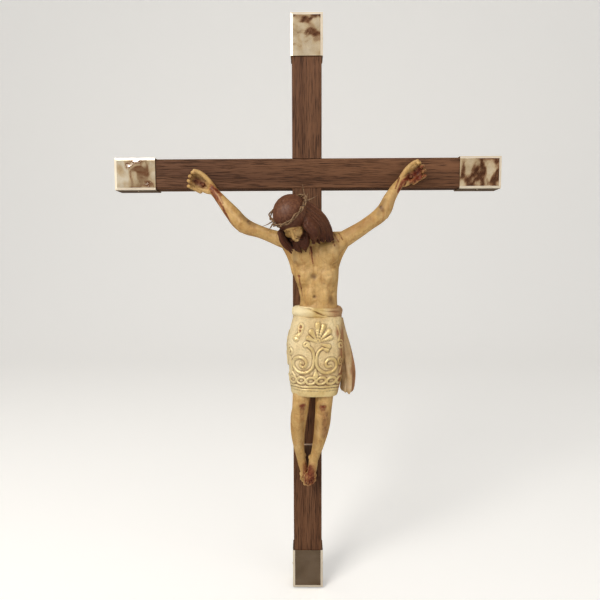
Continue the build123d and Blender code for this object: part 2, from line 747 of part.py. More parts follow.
with BuildPart() as head:
    add_head_loft(
        (
            (-hair_drop * 0.1, hair_back * 0.4, hair_half_width * 0.95, hair_half_depth * 1.2),
            (-hair_drop * 0.5, hair_back * 0.8, hair_half_width, hair_half_depth),
            (-hair_drop, hair_back, hair_half_width * 0.9, hair_half_depth * 0.8),
        )
    )
    for plane in (neck_seam, section_plane(head_centre, head_centre - neck, (1, 0, 0))):
        with BuildSketch(plane):
            Ellipse(neck_half_width, neck_half_depth)
    loft()
    fall_spread = (cos(radians(fall_turn)), sin(radians(fall_turn)), 0)
    for level, across, half_width, half_depth in (
        (fall_top_level, fall_top_across, fall_top_half_width, fall_top_half_depth),
        (fall_full_level, fall_full_across, fall_full_half_width, fall_full_half_depth),
        (fall_low_level, fall_low_across, fall_low_half_width, fall_low_half_depth),
    ):
        with BuildSketch(Plane(origin=at(across, fall_out, level), x_dir=fall_spread, z_dir=(0, 0, 1))):
            Ellipse(half_width, half_depth)
    loft()
    for neighbour in (torso.part, *arms.values()):
        add(neighbour, mode=Mode.SUBTRACT)
    with BuildSketch(in_head(0, 0, skull_rise)):
        SlotOverall(2 * skull_half_depth, 2 * skull_half_width, rotation=90)
        with Locations((skull_half_width / 2, 0)):
            Rectangle(skull_half_width, 2 * skull_half_depth, mode=Mode.INTERSECT)
    revolve(axis=Axis(in_head(0, 0, skull_rise).origin, head_plane.y_dir))
    add_head_loft(
        (
            (brow_rise, -face_forward * 0.1, face_half_width * 1.1, face_forward * 1.05),
            (-chin_drop * 0.4, -face_forward * 0.15, face_half_width, face_forward),
            (-chin_drop * 0.8, -face_forward * 0.3, face_half_width * 0.8, face_forward * 0.7),
            (-chin_drop, -face_forward * 0.5, face_half_width * 0.45, face_forward * 0.4),
        )
    )
    add_head_loft(
        (
            (-chin_drop * 0.6, -face_forward * 0.6, face_half_width * 0.8, face_forward * 0.45),
            (-chin_drop, -face_forward * 0.7, face_half_width * 0.7, face_forward * 0.35),
            (-beard_drop, -face_forward * 0.8, face_half_width * 0.25, face_forward * 0.15),
        )
    )
    with BuildSketch(Plane(origin=head_centre, x_dir=head_plane.y_dir, z_dir=head_plane.x_dir)):
        with BuildLine():
            Polyline(
                (-face_forward * 0.8, 0),
                (-face_forward * 1.2, -chin_drop * 0.4),
                (-face_forward * 0.8, -chin_drop * 0.5),
                close=True,
            )
        make_face()
    extrude(amount=nose_half_width, both=True)
    with Locations(Plane(origin=neck, x_dir=neck_dowel_place.x_dir, z_dir=neck_dowel_place.z_dir * -1)):
        Hole(dowel_radius + fit, depth=dowel_length / 2 + fit)
save(head, "head")

# Crown: two stems twisted round each other about the brow, each one unbroken and with its own thorns.
stem_offset = stem_radius + stem_gap / 2
crown_shrink = sqrt(1 - ((crown_rise - skull_rise) / skull_half_width) ** 2)
crown_half_width = skull_half_width * crown_shrink + crown_clearance + stem_radius + stem_offset
crown_half_depth = skull_half_depth * crown_shrink + crown_clearance + stem_radius + stem_offset


def stem_point(turn, phase):
    """The middle of a stem at a turn round the head, in the head's own axes."""
    twist = stem_twists * turn + phase
    swing = stem_offset * cos(twist)
    return Vector(
        (crown_half_width + swing) * cos(turn),
        (crown_half_depth + swing) * sin(turn),
        crown_rise + stem_offset * sin(twist),
    )


def stem_direction(turn, phase):
    """The direction of a stem at a turn round the head."""
    step = pi / 3600
    return (stem_point(turn + step, phase) - stem_point(turn - step, phase)).normalized()


def biarc(start, start_direction, end, end_direction):
    """Two tangent arcs from one point and direction to another."""
    chord = end - start
    along = chord.dot(start_direction + end_direction)
    bend = 2 * (1 - start_direction.dot(end_direction))
    reach = (sqrt(along * along + bend * chord.dot(chord)) - along) / bend
    middle = (start + end + (start_direction - end_direction) * reach) * 0.5
    TangentArc(start, middle, tangent=start_direction)
    TangentArc(middle, end, tangent=end - end_direction * reach - start - start_direction * reach)


# The thorns stand where a stem lies outermost, tilted up on one stem and down on the other.
for stem_label, phase, tilt in (
    ("crown_stem_a", pi / 2, radians(thorn_tilt)),
    ("crown_stem_b", -pi / 2, radians(-thorn_tilt)),
):
    with BuildPart() as stem:
        quarter_turns = 4 * stem_twists
        sweep_turn = 2 * pi - stem_end_gap / crown_half_width
        turns = [pi / 2 + sweep_turn * quarter / quarter_turns for quarter in range(quarter_turns + 1)]
        knots = [
            (
                in_head(*stem_point(turn, phase)).origin,
                head_plane.from_local_coords(stem_direction(turn, phase)) - head_plane.origin,
            )
            for turn in turns
        ]
        with BuildLine() as stem_line:
            for (start, start_direction), (end, end_direction) in zip(knots, knots[1:]):
                biarc(start, start_direction, end, end_direction)
        with BuildSketch(Plane(origin=knots[0][0], z_dir=knots[0][1])):
            Circle(stem_radius)
        sweep(path=stem_line.wire())
        for twist in range(stem_twists):
            turn = (2 * pi * twist - phase) / stem_twists
            root = stem_point(turn, phase)
            outward = Vector(cos(turn) * cos(tilt), sin(turn) * cos(tilt), sin(tilt))
            with Locations(head_plane * Plane(origin=root, z_dir=outward)):
                Cone(
                    thorn_radius,
                    thorn_tip_radius,
                    thorn_length,
                    align=(Align.CENTER, Align.CENTER, Align.MIN),
                )
    save(stem, stem_label)


def nail(place, seat, in_wood, label):
    """A round nail with a low conical head that bears on a seat in front of the wood."""
    head_seat = place.offset(seat)
    shank = seat + in_wood
    with BuildPart() as nail_body:
        with BuildSketch(Plane(origin=head_seat.origin, x_dir=head_seat.x_dir, z_dir=head_seat.y_dir * -1)):
            with BuildLine():
                Polyline(
                    (0, nail_head_height),
                    (nail_crown_radius, nail_head_height),
                    (nail_head_radius, 0),
                    (nail_radius, 0),
                    (nail_radius, nail_point - shank),
                    (0, -shank),
                    close=True,
                )
            make_face()
        revolve(axis=Axis(head_seat.origin, head_seat.z_dir))
    save(nail_body, label)


# Nails through the palms and the crossed feet into the wood
for side, nail_place in palm_nails.items():
    nail(nail_place, palm_seat, hand_nail_in_wood, f"{side}_hand_nail")
nail(foot_nail_place, foot_nail_seat, foot_nail_in_wood, "foot_nail")
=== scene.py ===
import math
import bpy
import numpy as np
from mathutils import Matrix, Vector


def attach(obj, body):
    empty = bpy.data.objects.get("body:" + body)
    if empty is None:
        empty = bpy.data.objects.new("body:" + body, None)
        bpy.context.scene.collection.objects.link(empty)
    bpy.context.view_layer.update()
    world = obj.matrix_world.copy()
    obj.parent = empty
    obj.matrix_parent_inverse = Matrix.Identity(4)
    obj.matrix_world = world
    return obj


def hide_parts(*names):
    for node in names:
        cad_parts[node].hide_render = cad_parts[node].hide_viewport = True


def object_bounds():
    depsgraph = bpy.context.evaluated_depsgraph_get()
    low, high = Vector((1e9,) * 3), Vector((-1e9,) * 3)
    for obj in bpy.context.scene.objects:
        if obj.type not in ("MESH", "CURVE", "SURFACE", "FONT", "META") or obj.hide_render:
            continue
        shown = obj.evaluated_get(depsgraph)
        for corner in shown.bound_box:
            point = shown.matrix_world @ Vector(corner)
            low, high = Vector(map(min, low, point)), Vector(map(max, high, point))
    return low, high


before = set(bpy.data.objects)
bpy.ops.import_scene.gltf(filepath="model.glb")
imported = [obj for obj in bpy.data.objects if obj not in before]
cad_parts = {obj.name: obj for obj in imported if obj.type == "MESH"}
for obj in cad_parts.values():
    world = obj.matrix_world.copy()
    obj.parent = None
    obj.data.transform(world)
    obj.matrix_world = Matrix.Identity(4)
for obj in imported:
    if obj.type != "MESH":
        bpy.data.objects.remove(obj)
cad_low, cad_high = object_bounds()
bpy.context.scene.view_settings.view_transform = "Standard"

# The pieces are carved in millimetres, in the frame of the CAD model, and settled into metres at the end.
# "Left" and "right" are the viewer's. "Out" is the distance in front of the wood's front face.
MILLIMETRE = 0.001
wood_front = -18.0
rng = np.random.default_rng(7)


def at(across, out, level):
    """A point of the figure, measured from the front face of the wood."""
    return Vector((across, wood_front - out, level))


# ---- hand tools

def put_down():
    bpy.ops.object.select_all(action="DESELECT")


def take(piece):
    put_down()
    piece.select_set(True)
    bpy.context.view_layer.objects.active = piece


def ball(centre, half_sizes, turn=(0, 0, 0)):
    """A lump of clay: a sphere pulled to three half sizes."""
    put_down()
    angles = [math.radians(angle) for angle in turn]
    bpy.ops.mesh.primitive_ico_sphere_add(subdivisions=4, radius=1, location=centre, rotation=angles)
    lump = bpy.context.object
    lump.scale = half_sizes
    bpy.ops.object.transform_apply(location=True, rotation=True, scale=True)
    return lump


def limb(points, radii):
    """A roll of clay through points, with a radius at each, and its two rounded ends."""
    put_down()
    curve = bpy.data.curves.new("roll", "CURVE")
    curve.dimensions = "3D"
    curve.bevel_depth = 1.0
    curve.bevel_resolution = 5
    curve.resolution_u = 8
    curve.use_fill_caps = True
    spline = curve.splines.new("BEZIER")
    spline.radius_interpolation = "CARDINAL"
    spline.bezier_points.add(len(points) - 1)
    for knot, point, radius in zip(spline.bezier_points, points, radii):
        knot.co = point
        knot.radius = radius
        knot.handle_left_type = knot.handle_right_type = "AUTO"
    roll = bpy.data.objects.new("roll", curve)
    bpy.context.scene.collection.objects.link(roll)
    take(roll)
    bpy.ops.object.convert(target="MESH")
    roll = bpy.context.object
    ends = [ball(points[k], [radii[k]] * 3) for k in (0, -1)]
    return merge([roll] + ends, "roll")


def merge(pieces, name):
    put_down()
    for piece in pieces:
        piece.select_set(True)
    bpy.context.view_layer.objects.active = pieces[0]
    bpy.ops.object.join()
    pieces[0].name = name
    pieces[0].data.name = name
    return pieces[0]


def soften(piece, rounds, amount=0.5):
    take(piece)
    smooth = piece.modifiers.new("soften", "SMOOTH")
    smooth.factor = amount
    smooth.iterations = rounds
    bpy.ops.object.modifier_apply(modifier="soften")


def melt(pieces, name, grain, rounds):
    """Melt overlapping lumps into one skin of a given grain, and rub it smooth."""
    piece = merge(pieces, name)
    take(piece)
    skin = piece.modifiers.new("skin", "REMESH")
    skin.mode = "VOXEL"
    skin.voxel_size = grain
    bpy.ops.object.modifier_apply(modifier="skin")
    soften(piece, rounds)
    bpy.ops.object.shade_smooth()
    return piece


def mesh_of(name, points, faces):
    mesh = bpy.data.meshes.new(name)
    mesh.from_pydata([tuple(point) for point in points], [], faces)
    piece = bpy.data.objects.new(name, mesh)
    bpy.context.scene.collection.objects.link(piece)
    take(piece)
    bpy.ops.object.mode_set(mode="EDIT")
    bpy.ops.mesh.select_all(action="SELECT")
    bpy.ops.mesh.normals_make_consistent(inside=False)
    bpy.ops.object.mode_set(mode="OBJECT")
    bpy.ops.object.shade_smooth()
    return piece


def grid_faces(rows, columns, closed=False):
    """Faces between neighbouring rows of points. Closed rows run from the last back to the first."""
    faces = []
    for row in range(rows if closed else rows - 1):
        below = (row + 1) % rows
        for column in range(columns):
            after = (column + 1) % columns
            faces.append((row * columns + column, row * columns + after,
                          below * columns + after, below * columns + column))
    return faces


def through(values, count):
    """Smooth values through given rows of numbers, evenly spread by row."""
    rows = np.asarray(values, float)
    padded = np.vstack([2 * rows[0] - rows[1], rows, 2 * rows[-1] - rows[-2]])
    spots = np.linspace(0, len(rows) - 1, count)
    first = np.minimum(spots.astype(int), len(rows) - 2)
    t = (spots - first)[:, None]
    a, b, c, d = (padded[first + k] for k in range(4))
    curve = 2 * b + (c - a) * t + (2 * a - 5 * b + 4 * c - d) * t ** 2 + (3 * b - a - 3 * c + d) * t ** 3
    return 0.5 * curve


def stacked_form(name, sections, rows=60, columns=72, square=2.0):
    """A closed form through level ovals: (level, across, out, half width, half depth)."""
    turns = np.linspace(0, 2 * math.pi, columns, endpoint=False)
    power = 2 / square
    wide = np.sign(np.cos(turns)) * np.abs(np.cos(turns)) ** power
    deep = np.sign(np.sin(turns)) * np.abs(np.sin(turns)) ** power
    points = []
    for level, across, out, half_width, half_depth in through(sections, rows):
        middle = at(across, out, level)
        points += [(middle.x + half_width * w, middle.y + half_depth * d, level) for w, d in zip(wide, deep)]
    ends = [tuple(range(columns)), tuple(range((rows - 1) * columns, rows * columns))]
    return mesh_of(name, points, grid_faces(rows, columns) + ends)


def points_of(piece):
    flat = np.empty(len(piece.data.vertices) * 3)
    piece.data.vertices.foreach_get("co", flat)
    return flat.reshape(-1, 3)


def normals_of(piece):
    flat = np.empty(len(piece.data.vertices) * 3)
    piece.data.vertex_normals.foreach_get("vector", flat)
    return flat.reshape(-1, 3)


def move_points(piece, points):
    piece.data.vertices.foreach_set("co", points.ravel())
    piece.data.update()


def reach_of(points, line, flat=False):
    """How far each point lies from a bent line. A flat line is measured as the viewer sees it."""
    keep = np.array((1.0, 0.0, 1.0) if flat else (1.0, 1.0, 1.0))
    spots = points * keep
    line = [np.array(spot, float) * keep for spot in line]
    if len(line) == 1:
        line = line * 2
    best = np.full(len(points), 1e9)
    for start, end in zip(line, line[1:]):
        run = end - start
        share = np.clip((spots - start) @ run / max(run @ run, 1e-9), 0, 1)
        best = np.minimum(best, np.linalg.norm(spots - start - share[:, None] * run, axis=1))
    return best


def bump_near(points, normals, line, width, flat):
    share = np.clip(1 - (reach_of(points, line, flat) / width) ** 2, 0, None) ** 2
    if flat:
        share *= np.clip(-2 * normals[:, 1], 0, 1)
    return share


def carve(piece, strokes, flat=False):
    """Push or pull the skin along lines: (line, width, height), where a height below 0 cuts a groove."""
    points, normals = points_of(piece), normals_of(piece)
    moved = points.copy()
    for line, width, height in strokes:
        moved += normals * (bump_near(points, normals, line, width, flat) * height)[:, None]
    move_points(piece, moved)


def layer(piece, name):
    found = piece.data.attributes.get(name)
    return found or piece.data.attributes.new(name, "FLOAT", "POINT")


def read_layer(piece, name):
    values = np.empty(len(piece.data.vertices))
    layer(piece, name).data.foreach_get("value", values)
    return values


def write_layer(piece, name, values):
    layer(piece, name).data.foreach_set("value", np.ascontiguousarray(values, float))


def dab(piece, name, strokes, flat=False):
    """Lay colour on a skin along lines: (line, width, strength)."""
    points, normals = points_of(piece), normals_of(piece)
    values = read_layer(piece, name)
    for line, width, strength in strokes:
        values = np.maximum(values, strength * bump_near(points, normals, line, width, flat))
    write_layer(piece, name, values)


def patch(points, across, level, half_width, half_height):
    """A soft oval spot as the viewer sees it, 1 in its middle."""
    far = np.hypot((points[:, 0] - across) / half_width, (points[:, 2] - level) / half_height)
    return np.clip(1 - far, 0, 1)


def mark_hollows(piece, spread=3, gain=1.0):
    """Note where the skin is hollow, for the dirt, glaze and painted shade laid in it."""
    mesh = piece.data
    ends = np.empty(len(mesh.edges) * 2, int)
    mesh.edges.foreach_get("vertices", ends)
    ends = ends.reshape(-1, 2)
    points, normals = points_of(piece), normals_of(piece)
    near = np.bincount(ends.ravel(), minlength=len(points)).clip(1)

    def average(values):
        total = np.bincount(ends[:, 0], values[ends[:, 1]], len(points))
        total += np.bincount(ends[:, 1], values[ends[:, 0]], len(points))
        return total / near

    far = points
    for _ in range(spread):
        far = np.stack([average(far[:, axis]) for axis in range(3)], axis=1)
    hollow = np.einsum("ij,ij->i", far - points, normals) * gain
    for _ in range(2):
        hollow = average(hollow)
    write_layer(piece, "hollow", np.clip(hollow, -1, 1))


def lay_flat_behind(piece, wall):
    """Plane the back of a carving flat where it lies on the wood."""
    points = points_of(piece)
    points[:, 1] = np.minimum(points[:, 1], wall)
    move_points(piece, points)


def settle(piece, finish, body, slot_name, *nodes):
    """Bring a finished piece to metres, give it its finish, and let it stand for its CAD nodes."""
    piece.data.transform(Matrix.Scale(MILLIMETRE, 4))
    piece.data.materials.clear()
    piece.data.materials.append(finish)
    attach(piece, body)
    if nodes:
        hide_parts(*nodes)


# ---- finishes

def tint(red, green, blue):
    """A colour as it looks, turned to the numbers that the shader works in."""
    shares = [value / 255 for value in (red, green, blue)]
    return tuple(s / 12.92 if s <= 0.04045 else ((s + 0.055) / 1.055) ** 2.4 for s in shares) + (1.0,)


def add(tree, kind, inputs=None, **settings):
    made = tree.nodes.new("ShaderNode" + kind)
    for name, value in settings.items():
        setattr(made, name, value)
    for name, value in (inputs or {}).items():
        if isinstance(value, bpy.types.NodeSocket):
            tree.links.new(value, made.inputs[name])
        else:
            made.inputs[name].default_value = value
    return made


def new_finish(name, roughness, metallic=0.0):
    finish = bpy.data.materials.new(name)
    finish.use_nodes = True
    tree = finish.node_tree
    tree.nodes.clear()
    shader = add(tree, "BsdfPrincipled", {"Roughness": roughness, "Metallic": metallic})
    output = add(tree, "OutputMaterial")
    tree.links.new(shader.outputs[0], output.inputs["Surface"])
    return finish, tree, shader


def spots(tree, stretch, detail=3.0, rough=0.55):
    """A mottle on the piece's own coordinates. The stretch is in spots a metre along each axis."""
    place = add(tree, "TexCoord").outputs["Object"]
    laid = add(tree, "Mapping", {"Vector": place, "Scale": stretch}).outputs[0]
    made = add(tree, "TexNoise", {"Vector": laid, "Scale": 1.0, "Detail": detail, "Roughness": rough})
    return made.outputs["Fac"]


def steps(tree, value, stops):
    """Values along a scale: (place, grey or colour)."""
    ramp = add(tree, "ValToRGB", {"Fac": value})
    bar = ramp.color_ramp
    while len(bar.elements) < len(stops):
        bar.elements.new(0.5)
    for element, (place, colour) in zip(bar.elements, stops):
        element.position = place
        element.color = colour if isinstance(colour, tuple) else (colour, colour, colour, 1)
    return ramp.outputs["Color"]


def mix(tree, share, under, over, how="MIX"):
    made = tree.nodes.new("ShaderNodeMix")
    made.data_type = "RGBA"
    made.blend_type = how
    for place, value in ((0, share), (6, under), (7, over)):
        if isinstance(value, bpy.types.NodeSocket):
            tree.links.new(value, made.inputs[place])
        else:
            made.inputs[place].default_value = value
    return made.outputs[2]


def sums(tree, how, first, second):
    made = add(tree, "Math", operation=how)
    for place, value in ((0, first), (1, second)):
        if isinstance(value, bpy.types.NodeSocket):
            tree.links.new(value, made.inputs[place])
        else:
            made.inputs[place].default_value = value
    return made.outputs[0]


def painted_layer(tree, name):
    return add(tree, "Attribute", attribute_name=name).outputs["Fac"]


def relief(tree, shader, height, depth, strength=1.0):
    bump = add(tree, "Bump", {"Height": height, "Distance": depth, "Strength": strength})
    tree.links.new(bump.outputs[0], shader.inputs["Normal"])


def dark_hardwood(name, along):
    """Dark open-pored wood, waxed. Along is the axis that the grain runs on."""
    finish, tree, shader = new_finish(name, 0.5)
    shader.inputs["Specular IOR Level"].default_value = 0.2

    def grain(across_count, along_count, detail=3.0, rough=0.55):
        stretch = [across_count] * 3
        stretch[along] = along_count
        return spots(tree, stretch, detail, rough)

    broad = grain(60, 2.5, 4)
    bands = grain(520, 6, 4, 0.6)
    pores = grain(2200, 60, 2, 0.5)
    colour = steps(tree, broad, [
        (0.3, tint(89, 56, 36)), (0.5, tint(109, 73, 49)), (0.72, tint(129, 89, 62)),
    ])
    colour = mix(tree, 0.75, colour, steps(tree, bands, [(0.3, 0.62), (0.5, 0.86), (0.75, 1.0)]), "MULTIPLY")
    pore = steps(tree, pores, [(0.34, 0.0), (0.46, 1.0)])
    colour = mix(tree, 0.8, colour, mix(tree, pore, tint(92, 74, 64), (1, 1, 1, 1)), "MULTIPLY")
    tree.links.new(colour, shader.inputs["Base Color"])
    tree.links.new(steps(tree, bands, [(0.3, 0.62), (0.7, 0.42)]), shader.inputs["Roughness"])
    relief(tree, shader, sums(tree, "ADD", pore, sums(tree, "MULTIPLY", bands, 0.6)), 0.00025, 0.8)
    return finish


def polished_silver():
    """A mirror face with shallow waves, inside a brushed bevel that looks paler."""
    finish, tree, shader = new_finish("polished_silver", 0.1, 1.0)
    cloud = spots(tree, (45, 45, 45), 4)
    facing = add(tree, "SeparateXYZ", {0: add(tree, "NewGeometry").outputs["True Normal"]}).outputs["Y"]
    bevel = steps(tree, sums(tree, "MULTIPLY", facing, -1.0), [
        (0.9, 0.0), (0.94, 1.0), (0.985, 1.0), (0.993, 0.0),
    ])
    colour = steps(tree, cloud, [(0.3, tint(190, 180, 164)), (0.6, tint(226, 218, 204))])
    tree.links.new(mix(tree, bevel, colour, tint(238, 226, 204)), shader.inputs["Base Color"])
    polish = steps(tree, spots(tree, (220, 220, 220), 5), [(0.3, 0.05), (0.8, 0.12)])
    tree.links.new(mix(tree, bevel, polish, (0.45, 0.45, 0.45, 1)), shader.inputs["Roughness"])
    tree.links.new(mix(tree, bevel, (1, 1, 1, 1), (0.4, 0.4, 0.4, 1)), shader.inputs["Metallic"])
    waves = spots(tree, (38, 38, 38), 1.0)
    dents = sums(tree, "MULTIPLY", spots(tree, (130, 130, 130), 1.0), 0.05)
    scuffs = sums(tree, "MULTIPLY", spots(tree, (900, 900, 900), 3), 0.004)
    relief(tree, shader, sums(tree, "ADD", sums(tree, "ADD", waves, dents), scuffs), 0.0035, 1.0)
    return finish


def plain_metal(name, dark, light, roughness, pitted=0.0001):
    finish, tree, shader = new_finish(name, roughness, 1.0)
    cloud = spots(tree, (300, 300, 300), 5)
    tree.links.new(steps(tree, cloud, [(0.3, dark), (0.7, light)]), shader.inputs["Base Color"])
    dullness = steps(tree, cloud, [(0.3, roughness + 0.15), (0.7, roughness)])
    tree.links.new(dullness, shader.inputs["Roughness"])
    relief(tree, shader, spots(tree, (1500, 1500, 1500), 3), pitted)
    return finish


def bare_wood(name, dark, light, along):
    finish, tree, shader = new_finish(name, 0.65)
    stretch = [900] * 3
    stretch[along] = 40
    grain = spots(tree, stretch, 3)
    tree.links.new(steps(tree, grain, [(0.3, dark), (0.7, light)]), shader.inputs["Base Color"])
    relief(tree, shader, grain, 0.0002)
    return finish


def block_finish():
    """Dark wood, painted pale on its upward faces as a highlight."""
    finish, tree, shader = new_finish("block_wood", 0.65)
    grain = spots(tree, (900, 900, 40), 3)
    dark = steps(tree, grain, [(0.3, tint(66, 42, 28)), (0.7, tint(104, 74, 50))])
    rise = add(tree, "SeparateXYZ", {0: add(tree, "NewGeometry").outputs["True Normal"]}).outputs["Z"]
    # painted highlight: faces turned upwards are painted pale
    painted_top_highlight = steps(tree, rise, [(0.5, 0.0), (0.8, 1.0)])
    tree.links.new(mix(tree, painted_top_highlight, dark, tint(224, 198, 172)), shader.inputs["Base Color"])
    relief(tree, shader, grain, 0.0002)
    return finish


def aged_flesh(name, hair=False):
    """Oil paint and old varnish on carved wood, with dirt and painted shade in the hollows, bruises, painted
    blood, and painted shade laid on through the bruise and blood layers.
    """
    finish, tree, shader = new_finish(name, 0.42)
    shader.inputs["Specular IOR Level"].default_value = 0.35
    mottle = spots(tree, (70, 70, 70), 5, 0.6)
    fine = spots(tree, (420, 420, 420), 4, 0.65)
    streaks = spots(tree, (300, 300, 60), 4, 0.7)
    colour = steps(tree, mottle, [
        (0.3, tint(178, 137, 78)), (0.5, tint(196, 158, 98)), (0.72, tint(213, 178, 121)),
    ])
    colour = mix(tree, 0.5, colour, steps(tree, fine, [(0.32, 0.66), (0.6, 1.0)]), "MULTIPLY")
    brushed_on = steps(tree, streaks, [(0.34, tint(206, 160, 124)), (0.5, (1, 1, 1, 1))])
    colour = mix(tree, 0.4, colour, brushed_on, "MULTIPLY")
    # dirt and painted shade: the hollows darken, as grime and as the shade that falls in them
    dirt_and_painted_shade = steps(tree, painted_layer(tree, "hollow"), [(0.02, 0.0), (0.5, 1.0)])
    colour = mix(tree, sums(tree, "MULTIPLY", dirt_and_painted_shade, 0.7), colour, tint(110, 70, 36))
    ragged = steps(tree, fine, [(0.25, 0.35), (0.65, 1.0)])
    # bruises and painted shade share this layer
    bruise_and_painted_shade = sums(tree, "MULTIPLY", painted_layer(tree, "bruise_and_painted_shade"), ragged)
    colour = mix(tree, bruise_and_painted_shade, colour, tint(92, 62, 42))
    drying = sums(tree, "ADD", sums(tree, "MULTIPLY", fine, 0.55), sums(tree, "MULTIPLY", streaks, 0.45))
    broken = sums(tree, "SUBTRACT", sums(tree, "MULTIPLY", drying, 3.2), 0.75)
    # painted blood; laid faintly, the same layer is painted shade
    blood_and_painted_shade = steps(tree, sums(tree, "MULTIPLY", painted_layer(tree, "blood_and_painted_shade"), broken), [
        (0.1, 0.0), (0.6, 0.8), (0.95, 1.0),
    ])
    blood_colour = steps(tree, drying, [
        (0.38, tint(150, 78, 48)), (0.5, tint(112, 42, 22)), (0.62, tint(76, 22, 10)),
    ])
    colour = mix(tree, blood_and_painted_shade, colour, blood_colour)
    # blood darkens more in the hollows, as clot and as painted shade
    clotted_blood_and_shade = sums(tree, "MULTIPLY", sums(tree, "MULTIPLY", dirt_and_painted_shade, blood_and_painted_shade), 0.8)
    colour = mix(tree, clotted_blood_and_shade, colour, tint(58, 24, 14))
    if hair:
        locks = spots(tree, (500, 500, 500), 3, 0.6)
        hair_colour = steps(tree, locks, [
            (0.3, tint(78, 46, 31)), (0.55, tint(106, 67, 46)), (0.8, tint(132, 90, 63)),
        ])
        # painted shade: the hair is darker towards its lower ends
        shade = sums(tree, "MULTIPLY", painted_layer(tree, "shade"), 0.75)
        hair_colour = mix(tree, shade, hair_colour, tint(70, 32, 18))
        # dirt and painted shade darken the grooves between the strands
        hair_colour = mix(tree, sums(tree, "MULTIPLY", dirt_and_painted_shade, 0.8), hair_colour, tint(34, 18, 12))
        colour = mix(tree, painted_layer(tree, "hair"), colour, hair_colour)
    tree.links.new(colour, shader.inputs["Base Color"])
    tree.links.new(steps(tree, fine, [(0.3, 0.52), (0.75, 0.36)]), shader.inputs["Roughness"])
    brushed = sums(tree, "MULTIPLY", spots(tree, (1400, 1400, 500), 2), 0.6)
    relief(tree, shader, sums(tree, "ADD", fine, brushed), 0.0003, 0.7)
    return finish


def gilt_cloth(name):
    """Gold on stiffened cloth: a granular cream ground, brighter raised cords, red ground where worn, painted
    shade through the same wear layer, a painted highlight where the pale layer lies, and dirt and painted shade
    in the hollows.
    """
    finish, tree, shader = new_finish(name, 0.45)
    mottle = spots(tree, (80, 80, 80), 4, 0.6)
    crumbs = spots(tree, (520, 520, 520), 5, 0.8)
    cord = painted_layer(tree, "cord")
    ground = steps(tree, mottle, [
        (0.3, tint(208, 176, 122)), (0.55, tint(232, 207, 155)), (0.75, tint(242, 223, 180)),
    ])
    ground = mix(tree, 0.55, ground, steps(tree, crumbs, [(0.36, 0.5), (0.52, 1.0)]), "MULTIPLY")
    gold = steps(tree, mottle, [(0.3, tint(210, 178, 112)), (0.6, tint(236, 213, 154))])
    colour = mix(tree, steps(tree, cord, [(0.15, 0.0), (0.6, 1.0)]), ground, gold)
    # painted highlight: the pale layer lightens the cloth where light falls on it
    colour = mix(tree, painted_layer(tree, "pale"), colour, tint(253, 238, 194))
    # dirt and painted shade darken the recesses round the cords
    dirt_and_painted_shade = steps(tree, painted_layer(tree, "hollow"), [(0.03, 0.0), (0.3, 1.0)])
    colour = mix(tree, sums(tree, "MULTIPLY", dirt_and_painted_shade, 0.85), colour, tint(116, 74, 36))
    # worn gold shows red ground; the same layer also lays painted shade
    worn_and_shaded = steps(tree, sums(tree, "ADD", painted_layer(tree, "wear_and_painted_shade"), sums(tree, "MULTIPLY", crumbs, 0.45)),
                 [(0.5, 0.0), (0.8, 0.85)])
    worn_and_shaded = sums(tree, "MULTIPLY", worn_and_shaded, steps(tree, cord, [(0.3, 1.0), (0.9, 0.35)]))
    colour = mix(tree, worn_and_shaded, colour, mix(tree, mottle, tint(134, 74, 40), tint(178, 118, 72)))
    tree.links.new(colour, shader.inputs["Base Color"])
    tree.links.new(steps(tree, cord, [(0.1, 0.6), (0.7, 0.36)]), shader.inputs["Roughness"])
    tree.links.new(steps(tree, cord, [(0.1, 0.08), (0.7, 0.35)]), shader.inputs["Metallic"])
    grainy = sums(tree, "MULTIPLY", crumbs, steps(tree, cord, [(0.1, 1.0), (0.6, 0.15)]))
    relief(tree, shader, grainy, 0.0013, 0.9)
    return finish


upright_wood = dark_hardwood("upright_hardwood", 2)
beam_wood = dark_hardwood("beam_hardwood", 0)
silver = polished_silver()
steel = plain_metal("screw_steel", tint(110, 108, 104), tint(168, 166, 162), 0.3)
iron = plain_metal("nail_iron", tint(112, 70, 52), tint(168, 120, 94), 0.6, 0.0003)
brass = plain_metal("hanger_brass", tint(150, 118, 62), tint(206, 172, 100), 0.28)
beech = bare_wood("dowel_beech", tint(178, 148, 106), tint(208, 182, 140), 2)
block_wood = block_finish()
twig = bare_wood("crown_twig", tint(62, 42, 28), tint(158, 124, 86), 0)
flesh = aged_flesh("painted_flesh")
head_paint = aged_flesh("painted_head", hair=True)
gilt = gilt_cloth("gilded_cloth")

node_finishes = {
    "upright_post": upright_wood,
    "crossbeam": beam_wood,
    "top_cap": silver, "bottom_cap": silver, "left_cap": silver, "right_cap": silver, "cap_pins": silver,
    "lap_screws": steel, "corpus_screw": steel,
    "left_hand_nail": iron, "right_hand_nail": iron, "foot_nail": iron,
    "hanger_eye": brass, "hanger_ring": brass,
    "shoulder_dowels": beech, "neck_dowel": beech, "hip_dowels": beech,
    "foot_block": block_wood,
}
for node_name, finish in node_finishes.items():
    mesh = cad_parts[node_name].data
    mesh.materials.clear()
    mesh.materials.append(finish)


# ---- trunk and arms, carved as one skin and parted at the shoulders

